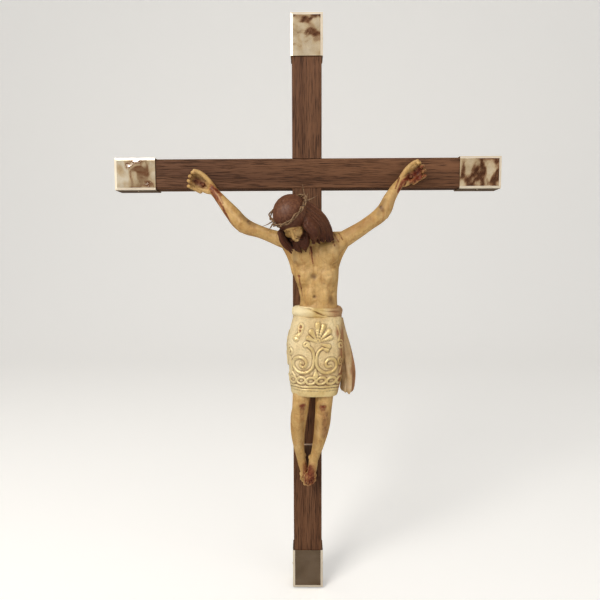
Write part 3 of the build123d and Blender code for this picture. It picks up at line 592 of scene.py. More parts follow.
trunk_sections = [
    (-57, 3.5, 24, 7.5, 7), (-62.5, 5, 20, 13, 9), (-69, 7, 17, 23.5, 11.5), (-78, 7.8, 16.5, 23.8, 14),
    (-88, 8.5, 16.5, 23.3, 16), (-98, 9.2, 15.5, 22.4, 16.2), (-108, 9.8, 14.5, 21.4, 15.8),
    (-119, 10.8, 14, 19.4, 14.8), (-130, 11.5, 14.5, 18.6, 14), (-147, 9.8, 18.6, 21.3, 15),
    (-163, 8.4, 19, 21.8, 15.5), (-178, 7.6, 19, 20.8, 15.5),
]
sides = {"left": -1, "right": 1}
arm_runs = {
    "left": [at(-10, 17, -71), at(-23, 17, -68.6), at(-34, 16.8, -65), at(-47, 15.5, -60.2), at(-64, 13.8, -53),
             at(-76, 11.8, -40), at(-89, 8.6, -24.5), at(-95, 7.5, -17.5)],
    "right": [at(24, 17, -71), at(34, 17, -69), at(43, 17, -64), at(59, 15.8, -53.8), at(75.5, 13.8, -40.5),
              at(83, 11.3, -26), at(92, 8.4, -13), at(96, 7.5, -9.5)],
}
arm_radii = {
    "left": [9.0, 8.2, 6.9, 6.3, 7.9, 7.2, 5.0, 4.6],
    "right": [9.0, 8.6, 8.0, 7.1, 7.5, 6.0, 4.9, 4.6],
}
wrists = {"left": at(-94, 8, -19), "right": at(93.5, 8, -13)}
shoulder_seams = {"left": at(-21.8, 17, -67.8), "right": at(34.9, 17, -65.4)}
elbows = {"left": at(-65, 14, -54.5), "right": at(75, 14, -42.5)}
trunk_middle = 7.6
hand_lean = {"left": 27, "right": 34}
finger_lengths = (0.98, 1.04, 0.97, 0.80)
finger_run = [(13, -1.0), (21, -0.6), (25.8, 2.2), (26.6, 6.6), (24.4, 9.4)]
finger_radii = [2.1, 1.9, 1.9, 1.85, 1.7]
finger_pitch = 4.7


def hand_place(side):
    """The hand's own axes: along the hand, across it towards the thumb, and out to the viewer."""
    sign = sides[side]
    lean = math.radians(hand_lean[side])
    along = Vector((sign * math.cos(lean), 0, math.sin(lean)))
    out = Vector((0, -1, 0))
    across = Vector((-sign * math.sin(lean), 0, math.cos(lean)))
    wrist = wrists[side]
    return lambda a, c, o: wrist + along * a + across * c + out * o


def hand_lumps(side):
    spot = hand_place(side)
    turn = (0, (1 if side == "left" else -1) * hand_lean[side], 0)
    lumps = [
        ball(spot(9.0, 0.4, -3), (11.0, 3.0, 5.8), turn),
        ball(spot(6.0, 3.8, -0.8), (6.5, 3.0, 3.2), turn),
        ball(spot(9.0, -3.2, -1.0), (7.0, 2.8, 2.5), turn),
        ball(spot(16.5, 0, -3), (3.6, 2.6, 7.2), turn),
    ]
    for finger, share in enumerate(finger_lengths):
        across = (1.5 - finger) * finger_pitch
        run = [
            spot(13 + (a - 13) * share, across * (0.88 + 0.03 * k), o - 2.6)
            for k, (a, o) in enumerate(finger_run)
        ]
        lumps.append(limb(run, finger_radii))
    thumb = [
        spot(2.5, 3.2, 0), spot(8.5, 7.0, 1.6), spot(15.5, 9.4, 2.8), spot(21.5, 10.0, 4.4), spot(25, 9.4, 6.0),
    ]
    lumps.append(limb(thumb, [3.0, 2.5, 2.3, 2.1, 1.7]))
    return lumps


def trunk_lumps():
    lumps = [stacked_form("trunk_core", trunk_sections)]
    for sign in (-1, 1):
        lumps += [
            ball(at(trunk_middle + sign * 11.3, 25.5, -82.5), (12.5, 8.6, 11.5), (0, sign * 18, 0)),
            ball(at(trunk_middle + 1 + sign * 9.8, 19.5, -102), (11.8, 12.6, 15)),
            ball(at(trunk_middle + 2.6 + sign * 6.2, 20.5, -124), (8.0, 8.8, 17)),
            ball(at(trunk_middle + sign * 24, 17.5, -69.5), (10.5, 8.6, 8.6)),
            limb([at(4, 21, -59), at(trunk_middle + sign * 14, 15, -65.5),
                  at(trunk_middle + sign * 27, 15.5, -66)], [6, 6, 6]),
            limb([at(trunk_middle + sign * 28, 14, -72), at(trunk_middle + sign * 21.5, 13, -84),
                  at(trunk_middle + sign * 18.5, 12, -100)], [6.2, 6.6, 5]),
            limb([at(trunk_middle + sign * 26, 23, -72.5), at(trunk_middle + sign * 16, 27, -80)],
                 [5.2, 6.5]),
        ]
    return lumps


def arm_lumps(side):
    run, sign = arm_runs[side], sides[side]
    upper, elbow, fore = run[3:6]
    biceps = [
        run[2].lerp(upper, 0.3) + Vector((0, -1.6, 1.0)),
        upper.lerp(elbow, 0.35) + Vector((0, -1.8, 1.2)),
    ]
    forearm = [elbow.lerp(fore, 0.1) + Vector((0, -2.2, 0.5)), fore + Vector((0, -1.4, 0.5))]
    lumps = [
        limb(run, arm_radii[side]),
        limb(biceps, [5.2, 4.8]),
        limb(forearm, [6.2, 5.0]),
        ball(elbow + Vector((sign * 1.6, 2, -3.2)), (4.8, 4.2, 4.6)),
    ]
    return lumps + hand_lumps(side)


figure = melt(trunk_lumps() + arm_lumps("left") + arm_lumps("right"), "trunk_and_arms", 0.55, 6)

rib_grooves = []
for sign in (-1, 1):
    for rib in range(5):
        level = -92 - 6.4 * rib
        rib_grooves.append((
            [at(trunk_middle + 1.5 + sign * (22 - 0.6 * rib), 12, level + 1),
             at(trunk_middle + 1.5 + sign * (18 - 0.5 * rib), 25, level - 3.5),
             at(trunk_middle + 1.5 + sign * (11 + 0.4 * rib), 31.5, level - 5.5)],
            2.1, -0.55,
        ))
carve(figure, rib_grooves)
front_lines = [
    ([(5.6, 0, -76), (6.2, 0, -88), (6.5, 0, -100)], 3.0, -0.9),
    ([(-12, 0, -88), (-9, 0, -95), (-2.5, 0, -97.5), (4.2, 0, -94.5)], 3.2, -0.7),
    ([(7.6, 0, -94.5), (14, 0, -98.5), (22, 0, -98.2), (29, 0, -91)], 3.2, -0.7),
    ([(6.5, 0, -104.5)], 5.0, -1.4),
    ([(5.5, 0, -103), (-1, 0, -111), (-5.5, 0, -121)], 3.4, -0.6),
    ([(8.5, 0, -103), (17, 0, -111), (24, 0, -121)], 3.4, -0.6),
    ([(6.8, 0, -106), (7.4, 0, -122)], 2.4, -0.6),
    ([(7.2, 0, -124.5)], 2.4, -1.7),
    ([(7.2, 0, -127.3)], 2.6, 0.5),
    ([(0.5, 0, -112), (1, 0, -128)], 2.6, -0.25),
    ([(15.5, 0, -112), (15.8, 0, -128)], 2.6, -0.25),
    ([(-3, 0, -67.5), (-14, 0, -66.5)], 2.6, 0.8),
    ([(12, 0, -67.5), (29, 0, -65.5)], 2.6, 0.8),
    ([(-8.6, 0, -104)], 2.6, -0.9),
    ([(-5.8, 0, -88.2)], 1.3, 0.6),
    ([(21.5, 0, -88.2)], 1.3, 0.6),
]
carve(figure, front_lines, flat=True)
palm_cuts = []
for side in sides:
    spot = hand_place(side)
    palm_cuts.append(([spot(13, 0, 0.4), spot(18, 0, 0)], 5.0, -1.6))
    palm_cuts += [([spot(17, c, 0.6), spot(24, c, 1.0), spot(30, c, 3.5), spot(29, c, 7)], 1.2, -0.8)
                  for c in (-finger_pitch, 0, finger_pitch)]
carve(figure, palm_cuts)
soften(figure, 2, 0.4)
lay_flat_behind(figure, wood_front - 0.15)
mark_hollows(figure, 4, 1.5)

dab(figure, "blood_and_painted_shade", [
    ([(3.4, 0, -76), (4.3, 0, -82)], 1.9, 0.9),
    ([(4.3, 0, -82), (4.6, 0, -87), (5.5, 0, -92)], 1.15, 0.95),
    ([(2.0, 0, -77), (2.4, 0, -83)], 1.1, 0.6),
    ([(-8.6, 0, -103.8), (-7.6, 0, -104.3)], 1.7, 1.0),
    ([(-8.0, 0, -105), (-7.2, 0, -111), (-5.8, 0, -117)], 1.3, 0.75),
    ([(-5.8, 0, -117), (-4.9, 0, -124)], 1.0, 0.6),
    ([(24.9, 0, -60), (27.2, 0, -65), (30.5, 0, -71)], 1.3, 0.65),
    ([(22.5, 0, -62), (24.5, 0, -68), (26.5, 0, -75)], 1.2, 0.7),
    ([(31, 0, -62), (34.5, 0, -69)], 1.3, 0.6),
    ([(-97, 0, -17), (-93, 0, -20), (-88.5, 0, -28), (-83, 0, -38), (-77, 0, -51)], 2.4, 0.95),
    ([(-96, 0, -14), (-91, 0, -18), (-86.5, 0, -23)], 3.2, 0.95),
    ([(-92, 0, -17), (-87, 0, -25), (-83.5, 0, -32)], 1.2, 0.7),
    ([(-96, 0, -20), (-92, 0, -26), (-88, 0, -34)], 1.8, 0.9),
    ([(101, 0, -7), (95, 0, -11), (90.5, 0, -21)], 3.4, 1.0),
    ([(98, 0, -12), (92, 0, -25), (90, 0, -30)], 2.2, 0.95),
    ([(92, 0, -7), (87.5, 0, -18)], 1.5, 0.75),
    # painted shade: the right upper arm and forearm are darkened through the blood layer
    ([(40, 0, -62), (62, 0, -49)], 8.0, 0.3),
    ([(78, 0, -38), (88, 0, -22)], 7.0, 0.24),
    ([(102, 0, -6), (109, 0, -2), (113, 0, 2)], 6.0, 1.0),
    ([(105, 0, -10), (117, 0, -4)], 6.0, 1.0),
    ([(-105, 0, -12), (-112, 0, -8.5)], 6.6, 0.6),
], flat=True)
# bruises, and painted shade in the palms, the pit under the chest and the navel
dab(figure, "bruise_and_painted_shade", [
    ([(-58.4, 0, -50.2), (-57, 0, -52)], 3.4, 1.0),
    ([(-66, 0, -44), (-52, 0, -54)], 4.0, 0.5),
    ([(72.5, 0, -36.8), (73.5, 0, -40)], 3.4, 1.0),
    ([(70, 0, -44), (76, 0, -30)], 4.0, 0.5),
    ([(6.5, 0, -104.7)], 4.2, 1.0),
    ([(24.2, 0, -130.6), (22.9, 0, -126)], 3.8, 0.65),
    ([(7.2, 0, -124.5)], 2.8, 0.5),
    ([(27, 0, -66), (29, 0, -76)], 5.0, 0.5),
    ([(-13, 0, -80), (-12, 0, -90)], 3.0, 0.4),
    ([(-104, 0, -12), (-112, 0, -7)], 7.4, 1.0),
    ([(101, 0, -8), (112, 0, -1)], 7.0, 0.95),
], flat=True)


def part_at_shoulder(piece, side):
    """Cut the skin through on the shoulder seam, near the shoulder only."""
    seam = shoulder_seams[side]
    along = elbows[side] - seam
    take(piece)
    near = np.linalg.norm(points_of(piece) - np.array(seam), axis=1) < 17
    bpy.ops.object.mode_set(mode="EDIT")
    bpy.ops.mesh.select_mode(type="VERT")
    bpy.ops.mesh.select_all(action="DESELECT")
    bpy.ops.object.mode_set(mode="OBJECT")
    piece.data.vertices.foreach_set("select", near)
    bpy.ops.object.mode_set(mode="EDIT")
    bpy.ops.mesh.bisect(plane_co=seam, plane_no=along)
    bpy.ops.mesh.edge_split(type="EDGE")
    bpy.ops.object.mode_set(mode="OBJECT")


for side in sides:
    part_at_shoulder(figure, side)
take(figure)
bpy.ops.object.mode_set(mode="EDIT")
bpy.ops.mesh.select_all(action="SELECT")
bpy.ops.mesh.separate(type="LOOSE")
bpy.ops.object.mode_set(mode="OBJECT")
for part in list(bpy.context.selected_objects):
    take(part)
    bpy.ops.object.mode_set(mode="EDIT")
    bpy.ops.mesh.select_all(action="SELECT")
    bpy.ops.mesh.fill_holes(sides=0)
    bpy.ops.object.mode_set(mode="OBJECT")
    middle = points_of(part)[:, 0].mean()
    if len(part.data.vertices) < 500:
        bpy.data.objects.remove(part)
        continue
    name = "left_arm" if middle < -30 else "right_arm" if middle > 45 else "torso"
    part.name = part.data.name = name + "_carving"
    settle(part, flesh, "cross", "painted_carving", name)


# ---- legs and feet

leg_runs = {
    "left": [at(-3.2, 19, -176), at(-4.8, 27, -206), at(-7.0, 32.6, -232), at(-9.6, 26, -255),
             at(-9.0, 18.5, -277), at(-7.0, 10, -294)],
    "right": [at(18.4, 19, -176), at(17.6, 27, -206), at(15.8, 33, -232), at(14.2, 27, -255),
              at(10.4, 21, -277), at(6.2, 15.5, -294)],
}
leg_radii = [10.2, 9.8, 8.3, 7.7, 5.8, 4.6]
foot_runs = {
    "left": [at(-7.0, 9.5, -294), at(-4.6, 10, -303), at(-2.2, 9.2, -311.5)],
    "right": [at(6.2, 15.2, -293), at(5.0, 17, -302), at(3.0, 15.6, -310.5)],
}
toe_tips = {
    "left": [(2.4, -317.6), (-0.2, -319.2), (-2.8, -320.0), (-5.0, -319.6), (-6.8, -317.8)],
    "right": [(-2.8, -319.6), (0.2, -321.0), (2.8, -320.4), (5.3, -318.8), (7.5, -316.4)],
}
toe_radii = (2.0, 1.6, 1.5, 1.45, 1.35)
toe_out = {"left": 8.6, "right": 15.0}

# grazed knees, each line measured across from the knee
grazes = {
    "left": [
        ([(0.4, -229.6), (3.4, -229.2)], 3.0, 0.85), ([(1.2, -231.6), (2.8, -232.6)], 2.8, 0.6),
        ([(0.2, -233), (0, -241)], 1.6, 0.4), ([(2.8, -233), (3.2, -246)], 1.6, 0.4),
        ([(1.5, -236), (1.5, -244)], 4.5, 0.36),
    ],
    "right": [
        ([(-2.8, -231), (0.6, -230.4)], 3.0, 0.85), ([(-1.8, -233), (0.2, -233.8)], 2.9, 0.65),
        ([(0.6, -235), (0.4, -245)], 1.8, 0.4), ([(-2.4, -235), (-2.8, -241)], 1.5, 0.4),
        ([(-1, -239), (-1, -248)], 4.5, 0.36),
    ],
}

for side, sign in sides.items():
    run = leg_runs[side]
    knee = run[2]
    lumps = [
        limb(run, leg_radii),
        ball(knee + Vector((0, -3.6, 1.0)), (5.4, 4.8, 5.6)),
        ball(run[3] + Vector((sign * 1.6, 2.4, 6)), (6.0, 6.2, 17)),
        ball(run[3] + Vector((-sign * 1.8, 2.4, 2)), (5.6, 6.0, 11)),
        ball(run[5] + Vector((sign * 2.4, 0.5, 1.5)), (2.3, 2.6, 2.8)),
        ball(run[5] + Vector((-sign * 3.2, 0.5, 2.5)), (2.4, 2.6, 2.8)),
        ball(run[5] + Vector((0, 2.6, -1)), (3.8, 3.4, 4.6)),
        limb(foot_runs[side], [4.7, 4.7, 4.2]),
        ball(foot_runs[side][2], (6.4, 3.4, 4.2)),
    ]
    ball_place = foot_runs[side][2]
    for (tip_across, tip_level), radius in zip(toe_tips[side], toe_radii):
        root_across = ball_place.x + (tip_across - ball_place.x) * 0.85
        root = Vector((root_across, ball_place.y - 0.2, ball_place.z - 1.5))
        tip = at(tip_across, toe_out[side] - 0.6, tip_level)
        bent = root.lerp(tip, 0.55) + Vector((0, -0.9, 0))
        lumps.append(limb([root, bent, tip], [radius * 1.15, radius, radius * 1.05]))
    leg = melt(lumps, side + "_leg_carving", 0.5, 6)
    shin = [knee + Vector((0, -8, -9)), run[3] + Vector((0, -8, 0)), run[4] + Vector((0, -6, 4))]
    carve(leg, [
        (shin, 3.0, 0.7),
        ([knee + Vector((-5, -6.5, -6.5)), knee + Vector((0, -8.5, -8)), knee + Vector((5, -6.5, -6.5))],
         2.4, -0.7),
        ([knee + Vector((-5.6, -6, 5)), knee + Vector((0, -8, 7)), knee + Vector((5.6, -6, 5))], 2.6, -0.5),
        ([run[3] + Vector((sign * 5.5, -4.5, 12)), run[3] + Vector((sign * 4.0, -5, -10))], 2.6, -0.5),
        ([foot_runs[side][0] + Vector((0, -4.5, -3)), foot_runs[side][2] + Vector((0, -4, 2))], 2.2, 0.5),
    ])
    toes = toe_tips[side]
    gaps = []
    for (first, _), (second, _) in zip(toes, toes[1:]):
        between = (first + second) / 2
        gaps.append(([at(between, toe_out[side] + 2, -313), at(between, toe_out[side] + 1.6, -320)], 1.1, -1.1))
    nails = [([at(x, toe_out[side] + 1.2, z + 1.6)], 1.1, -0.35) for x, z in toes]
    carve(leg, gaps + nails)
    soften(leg, 1, 0.4)
    mark_hollows(leg, 4, 1.5)
    dab(leg, "blood_and_painted_shade", [
        *[([(knee.x + x, 0, z) for x, z in line], width, strength) for line, width, strength in grazes[side]],
        ([(1.6, 0, -303), (1.0, 0, -307)], 6.0, 1.0),
        ([(-1.6, 0, -306), (-2.6, 0, -318)], 1.5, 1.0),
        ([(1.2, 0, -306), (0.8, 0, -318)], 1.4, 1.0),
        ([(3.6, 0, -305), (3.4, 0, -316)], 1.6, 1.0),
        ([(5.2, 0, -304), (6.0, 0, -314)], 1.5, 1.0),
        ([(-4, 0, -306), (-5, 0, -315)], 1.3, 0.8),
        ([(1.5, 0, -302), (2.6, 0, -317)], 11.5, 0.85),
    ], flat=True)
    # a bruise on the knee, and darker along the inner shin and over the foot
    dab(leg, "bruise_and_painted_shade", [
        ([(knee.x - 1.8 * sign, 0, -231)], 6.5, 0.75),
        ([run[3] + Vector((-sign * 5, 0, 8)), run[4] + Vector((-sign * 4, 0, 0))], 3.6, 0.4),
        ([(1.0, 0, -304)], 8.0, 0.4),
    ], flat=True)
    # painted shade: the right shin is darkened through the blood layer
    if side == "right":
        dab(leg, "blood_and_painted_shade", [([(17, 0, -238), (17.5, 0, -262)], 8.0, 0.48)], flat=True)
    settle(leg, flesh, "cross", "painted_carving", side + "_leg")


# ---- loincloth: a stiffened tube with raised cords

skirt_sections = [
    (-142, 9.9, 19.2, 23.4, 16.6), (-148, 9.8, 19.8, 25.4, 19.2), (-160, 8.9, 20.8, 27.6, 20.4),
    (-173, 8.2, 21.8, 28.7, 21.4), (-188, 8.2, 22.2, 27.8, 21.8), (-203, 8.2, 22.4, 26.3, 22.0),
    (-220, 7.6, 22.2, 22.8, 21.8),
]
cloth_columns, cloth_rows = 400, 170
cloth_wall = 1.5
cord_height = 1.3
cord_bed = 0.6  # how far the ground lies below the skirt's outline
front_middle = 8.2


def spiral(centre, radius, start, turns, inner, way, count=40):
    """A cord that winds inwards."""
    line = []
    for k in range(count + 1):
        reach = radius * (1 - (1 - inner) * k / count)
        turn = start + way * turns * 2 * math.pi * k / count
        line.append((centre[0] + reach * math.cos(turn), centre[1] + reach * math.sin(turn)))
    return line


def petal(tip, base, fullness):
    """A drop-shaped petal: a thin root, and round and full at its tip."""
    strokes = []
    for share in np.linspace(0, 1, 7):
        spot = tuple(b + (t - b) * share for b, t in zip(base, tip))
        strokes.append(([spot], 0.8 + fullness * share ** 1.5, 0.5 + 0.75 * share))
    return strokes


def cloth_pattern():
    """Cords of the front as (line across and level, half width, height). A common scroll and palmette."""
    cords = []
    palmette_root = (9.6, -167)
    for tip, fullness in (((8.6, -150.5), 1.9), ((14.9, -152.2), 1.7), ((20.9, -157), 1.6), ((22.6, -163), 1.3),
                          ((2.2, -157), 1.5), ((0.2, -163), 1.2)):
        cords += petal(tip, palmette_root, fullness)
    left_stem = [(0.7, -171), (4.2, -174), (6.0, -179), (6.0, -185), (4.8, -191), (0.7, -195.2), (-5.4, -196.7),
                 (-11.2, -195.2), (-15, -191.4), (-15.6, -186.5), (-12.4, -182.9), (-7.2, -181.6), (-2.4, -184),
                 (-1.2, -188.3), (-3.9, -191.2), (-7.6, -189.9), (-6.8, -187)]
    right_stem = [(14.7, -172.9), (11.1, -175.4), (8.9, -180.3), (8.3, -185.3), (9.0, -190.2), (12.3, -194.1),
                  (17.8, -196.6), (24.2, -195.2), (28.2, -191.5), (28.4, -187), (25.6, -183.6), (20.9, -183.4),
                  (17.8, -186.8), (19.2, -190.6), (22.9, -190.2)]
    for stem in (left_stem, right_stem):
        smooth = through(stem, 90)
        cords += [([tuple(a), tuple(b)], 0.95 + 0.35 * math.sin(math.pi * k / 90), 1.05)
                  for k, (a, b) in enumerate(zip(smooth, smooth[1:]))]
    cords.append((spiral((-1.6, -169.6), 2.9, math.radians(-30), 1.1, 0.3, 1), 1.0, 0.95))
    cords += petal((20.8, -171.2), (13.2, -169), 1.3) + petal((19.5, -174.6), (14, -172.6), 1.0)
    cords += petal((-12.2, -164.4), (-17, -163), 1.5) + petal((-10.6, -161), (-16.5, -162.4), 1.2)
    loop = through([
        (-9.8, -149.5), (-7.2, -151.5), (-7.0, -156), (-8.6, -160.5), (-10.6, -156.5), (-11.4, -152),
        (-9.8, -149.5),
    ], 40)
    cords.append(([tuple(spot) for spot in loop], 0.85, 1.0))
    cords.append(([(-11, -154.6), (-7, -155.2)], 0.8, 0.9))
    cords += petal((7.7, -199.6), (7.7, -193.5), 1.6)
    for root, turns in (((-18.5, -176), 1), ((33.5, -170), -1), ((34.5, -186), 1)):
        cords.append((spiral(root, 4.2, math.radians(100), 1.3, 0.25, turns), 0.95, 0.9))
    cords.append(([(-20, -181), (-17.5, -188), (-18.5, -196), (-14.5, -200)], 0.95, 0.9))
    cords.append(([(30, -152), (32.5, -160), (31, -166)], 1.0, 0.85))
    cords.append(([(36.5, -174), (38.5, -181), (36.5, -190), (33, -197)], 1.0, 0.85))
    return cords


def edge_pattern(around):
    """Cords that run right round: a plait of loops, and a double line over the hem."""
    cords = []
    loops = 16
    for loop in range(loops):
        middle = -around / 2 + around * (loop + 0.5) / loops + front_middle
        ring = [(middle + 4.7 * math.cos(turn), -204.2 + 3.2 * math.sin(turn) + 0.5 * math.cos(turn))
                for turn in np.linspace(0, 2 * math.pi, 21)]
        cords.append((ring, 1.0, 1.0))
        cords.append(([(middle + around / loops / 2, -204.4)], 1.3, 1.15))
    span = np.linspace(-around / 2 - 5, around / 2 + 5, 60) + front_middle
    for level, half in ((-210.2, 0.85), (-212.9, 0.85)):
        cords.append(([(x, level + 0.35 * math.sin(0.31 * x)) for x in span], half, 0.8))
    # scrolls on the flanks and at the back
    for place in (-58, -34, 50, 75):
        way = 1 if place > 0 else -1
        cords.append((spiral((place, -186), 8.0, math.radians(90), 1.5, 0.2, way), 1.1, 1.0))
        cords.append((spiral((place + 2 * way, -165), 5.5, math.radians(270), 1.3, 0.2, -way), 1.05, 0.9))
        cords.append(([(place, -178), (place - 3 * way, -171), (place + 2 * way, -159)], 1.1, 0.9))
    return cords


def make_loincloth():
    rings = through(skirt_sections, cloth_rows)
    turns = np.linspace(-math.pi / 2 - math.pi, -math.pi / 2 + math.pi, cloth_columns, endpoint=False)
    wide = np.sign(np.cos(turns)) * np.abs(np.cos(turns)) ** 0.72
    deep = np.sign(np.sin(turns)) * np.abs(np.sin(turns)) ** 0.72
    outer = np.array([
        [(r[1] + r[3] * w, wood_front - r[2] + r[4] * d, r[0]) for w, d in zip(wide, deep)]
        for r in rings
    ])
    # even spacing round each ring, measured from the middle of the front
    for row in range(cloth_rows):
        loop = np.vstack([outer[row], outer[row][:1]])
        steps_round = np.linalg.norm(np.diff(loop, axis=0), axis=1)
        along = np.concatenate([[0], np.cumsum(steps_round)])
        even = np.linspace(0, along[-1], cloth_columns, endpoint=False)
        outer[row] = np.stack([np.interp(even, along, loop[:, axis]) for axis in range(3)], axis=1)
    around = np.linalg.norm(np.diff(np.vstack([outer[80], outer[80][:1]]), axis=0), axis=1).sum()
    across = np.linspace(-around / 2, around / 2, cloth_columns, endpoint=False) + front_middle
    level = outer[:, 0, 2]
    places = np.stack([
        np.tile(across, cloth_rows), np.zeros(cloth_rows * cloth_columns), np.repeat(level, cloth_columns),
    ], 1)
    cord = np.zeros(len(places))
    for line, half, height in cloth_pattern() + edge_pattern(around):
        far = reach_of(places, [(x, 0, z) for x, z in line])
        cord = np.maximum(cord, height * np.sqrt(np.clip(1 - (far / (half * 1.15)) ** 2, 0, 1)))
    hem = np.clip(1 - ((places[:, 2] + 217.2) / 3.6) ** 2, 0, 1) ** 0.5 * 0.7
    cord = np.maximum(cord, hem)
    uneven = np.sin(places[:, 0] * 1.9 + 2 * np.sin(places[:, 2] * 0.7)) * np.cos(places[:, 2] * 1.6)
    cord *= 1 + 0.16 * uneven
    folds = 0.5 * np.sin(places[:, 0] * 0.23 + 1.0) * np.clip((-147 - places[:, 2]) / 60, 0, 1)
    folds += 0.35 * np.sin(places[:, 0] * 0.11 + places[:, 2] * 0.06)
    flat_outer = outer.reshape(-1, 3)
    middle = np.stack([rings[:, 1], wood_front - rings[:, 2], rings[:, 0]], 1)
    middle = np.repeat(middle, cloth_columns, axis=0)
    outward = flat_outer - middle
    outward[:, 2] = 0
    outward /= np.linalg.norm(outward, axis=1)[:, None]
    lifted = flat_outer + outward * (cord * cord_height + folds - cord_bed)[:, None]
    inner_rows = [cloth_rows - 1, 140, 100, 60, 20, 0]
    inside = (flat_outer - outward * (cloth_wall + cord_bed)).reshape(cloth_rows, cloth_columns, 3)
    inner = np.concatenate([inside[row] for row in inner_rows])
    points = np.vstack([lifted, inner])
    faces = grid_faces(cloth_rows + len(inner_rows), cloth_columns, closed=True)
    cloth = mesh_of("loincloth_cloth", points, faces)
    lay_flat_behind(cloth, wood_front - 0.25)
    # the gold is rubbed through on the right flank and in two spots, and the right flank also carries painted
    # shade; the left is painted paler as a painted highlight
    right_flank = np.clip((places[:, 0] - 25) / 12, 0, 1) * np.clip(1.5 - ((places[:, 2] + 188) / 38) ** 2, 0, 1)
    wear_and_painted_shade = np.maximum(right_flank * 0.7, patch(places, -9.3, -154.6, 3.2, 6) * 0.8)
    wear_and_painted_shade = np.maximum(wear_and_painted_shade, patch(places, 31, -158, 7, 12) * 0.7)
    # painted highlight: the left of the skirt is painted paler
    pale = np.clip((4 - places[:, 0]) / 20, 0, 1) * 0.35
    for name, values in (("cord", cord), ("wear_and_painted_shade", wear_and_painted_shade), ("pale", pale)):
        write_layer(cloth, name, np.concatenate([values, np.zeros(len(inner))]))
    mark_hollows(cloth, 3, 2.2)
    settle(cloth, gilt, "cross", "gilded_cloth", "loincloth")


make_loincloth()


# ---- girdle: a rolled band, with its end lapped over in front

girdle_across, girdle_half_width = 9.9, 22.0
girdle_out, girdle_half_depth = 18.4, 16.4
girdle_level = -140.0


def make_girdle():
    columns, around_roll = 300, 36
    points = []
    for column in range(columns):
        turn = 2 * math.pi * column / columns
        wide = math.copysign(abs(math.cos(turn)) ** 0.8, math.cos(turn))
        deep = math.copysign(abs(math.sin(turn)) ** 0.8, math.sin(turn))
        x = girdle_across + girdle_half_width * wide
        y = wood_front - girdle_out + girdle_half_depth * deep
        facing = max(0.0, -math.sin(turn)) ** 0.5
        slope = (x - girdle_across) / girdle_half_width
        # the left end of the band is broad; it narrows under the knot and runs on thinner to the right
        level = girdle_level - 0.8 * slope * facing
        half_height = 5.9 - 1.0 * facing * (1 / (1 + math.exp(-(x - 6) / 3)))
        for k in range(around_roll):
            roll = 2 * math.pi * k / around_roll
            flat = math.copysign(abs(math.sin(roll)) ** 0.75, math.sin(roll))
            crease = 0.3 * math.sin(4 * roll + 2 * turn) + 0.2 * math.sin(7 * roll - 3 * turn)
            rise = 3.1 + crease
            points.append((
                x + wide * rise * math.cos(roll),
                y + deep * rise * math.cos(roll),
                level + (half_height + 0.4 * crease) * flat,
            ))
    band = mesh_of("girdle_roll", points, grid_faces(columns, around_roll, closed=True))
    take(band)
    finer = band.modifiers.new("finer", "SUBSURF")
    finer.levels = finer.render_levels = 1
    bpy.ops.object.modifier_apply(modifier="finer")
    carve(band, [
        ([(-8, 0, -132.5), (2, 0, -135.5), (10, 0, -139.5), (20, 0, -143.5), (30, 0, -146)], 1.5, -1.3),
        ([(-14, 0, -139), (-4, 0, -138), (4, 0, -139)], 5.5, 1.0),
        ([(12, 0, -137.5), (24, 0, -138.5), (35, 0, -139.5)], 1.3, -0.7),
        ([(16, 0, -141.5), (26, 0, -142), (35, 0, -142.6)], 1.1, -0.5),
        ([(-15, 0, -143), (-4, 0, -143.5), (8, 0, -145)], 1.2, -0.5),
    ], flat=True)
    lay_flat_behind(band, wood_front - 0.2)
    points = points_of(band)
    write_layer(band, "cord", 0.16 + 0.5 * np.exp(-((points[:, 0] - 9) / 9) ** 2))
    # painted shade darkens the right end of the band, and a painted highlight lightens its left end
    write_layer(band, "wear_and_painted_shade", np.clip((points[:, 0] - 8) / 18, 0, 1) * 0.5)
    write_layer(band, "pale", np.clip((8 - points[:, 0]) / 16, 0, 1) * 0.8)
    mark_hollows(band, 4, 1.4)
    settle(band, gilt, "cross", "gilded_cloth", "girdle")


make_girdle()


# ---- hanging fold at the right hip

fold_out = 20
fold_sections = [(level, across, fold_out, half_width, half_depth) for level, across, half_width, half_depth in (
    (-146, 33.0, 2.6, 7.5), (-158, 34.0, 4.4, 8.6), (-172, 36.5, 6.0, 9.0), (-186, 39.2, 6.4, 9.0),
    (-200, 41.0, 6.4, 8.8), (-211, 40.8, 6.4, 8.4), (-217.5, 40.2, 6.2, 7.8), (-220.5, 40.0, 4.6, 5.6),
)]
fold = stacked_form("side_fold_cloth", fold_sections, rows=170, columns=190)
fold_points = points_of(fold)
fold_levels = through(fold_sections, 400)
fold_across = np.interp(-fold_points[:, 2], -fold_levels[:, 0], fold_levels[:, 1])
fold_turn = np.arctan2(fold_points[:, 1] - (wood_front - fold_out), fold_points[:, 0] - fold_across)
loose = np.clip((-150 - fold_points[:, 2]) / 45, 0, 1)
ridge = np.abs(np.sin(3 * fold_turn + 0.035 * fold_points[:, 2] + 0.4))
flute = (1.9 * ridge - 1.2 + 0.4 * np.sin(9 * fold_turn - 0.06 * fold_points[:, 2])) * loose
move_points(fold, fold_points + normals_of(fold) * flute[:, None])
fold_points = points_of(fold)
# the loose end is uneven and runs into small ruffles
ends = np.clip((-208 - fold_points[:, 2]) / 14, 0, 1)
fold_points[:, 2] += ends * (0.8 * np.sin(2 * fold_turn + 1) + 0.5 * np.sin(5 * fold_turn))
move_points(fold, fold_points)
write_layer(fold, "cord", np.full(len(fold_points), 0.12))
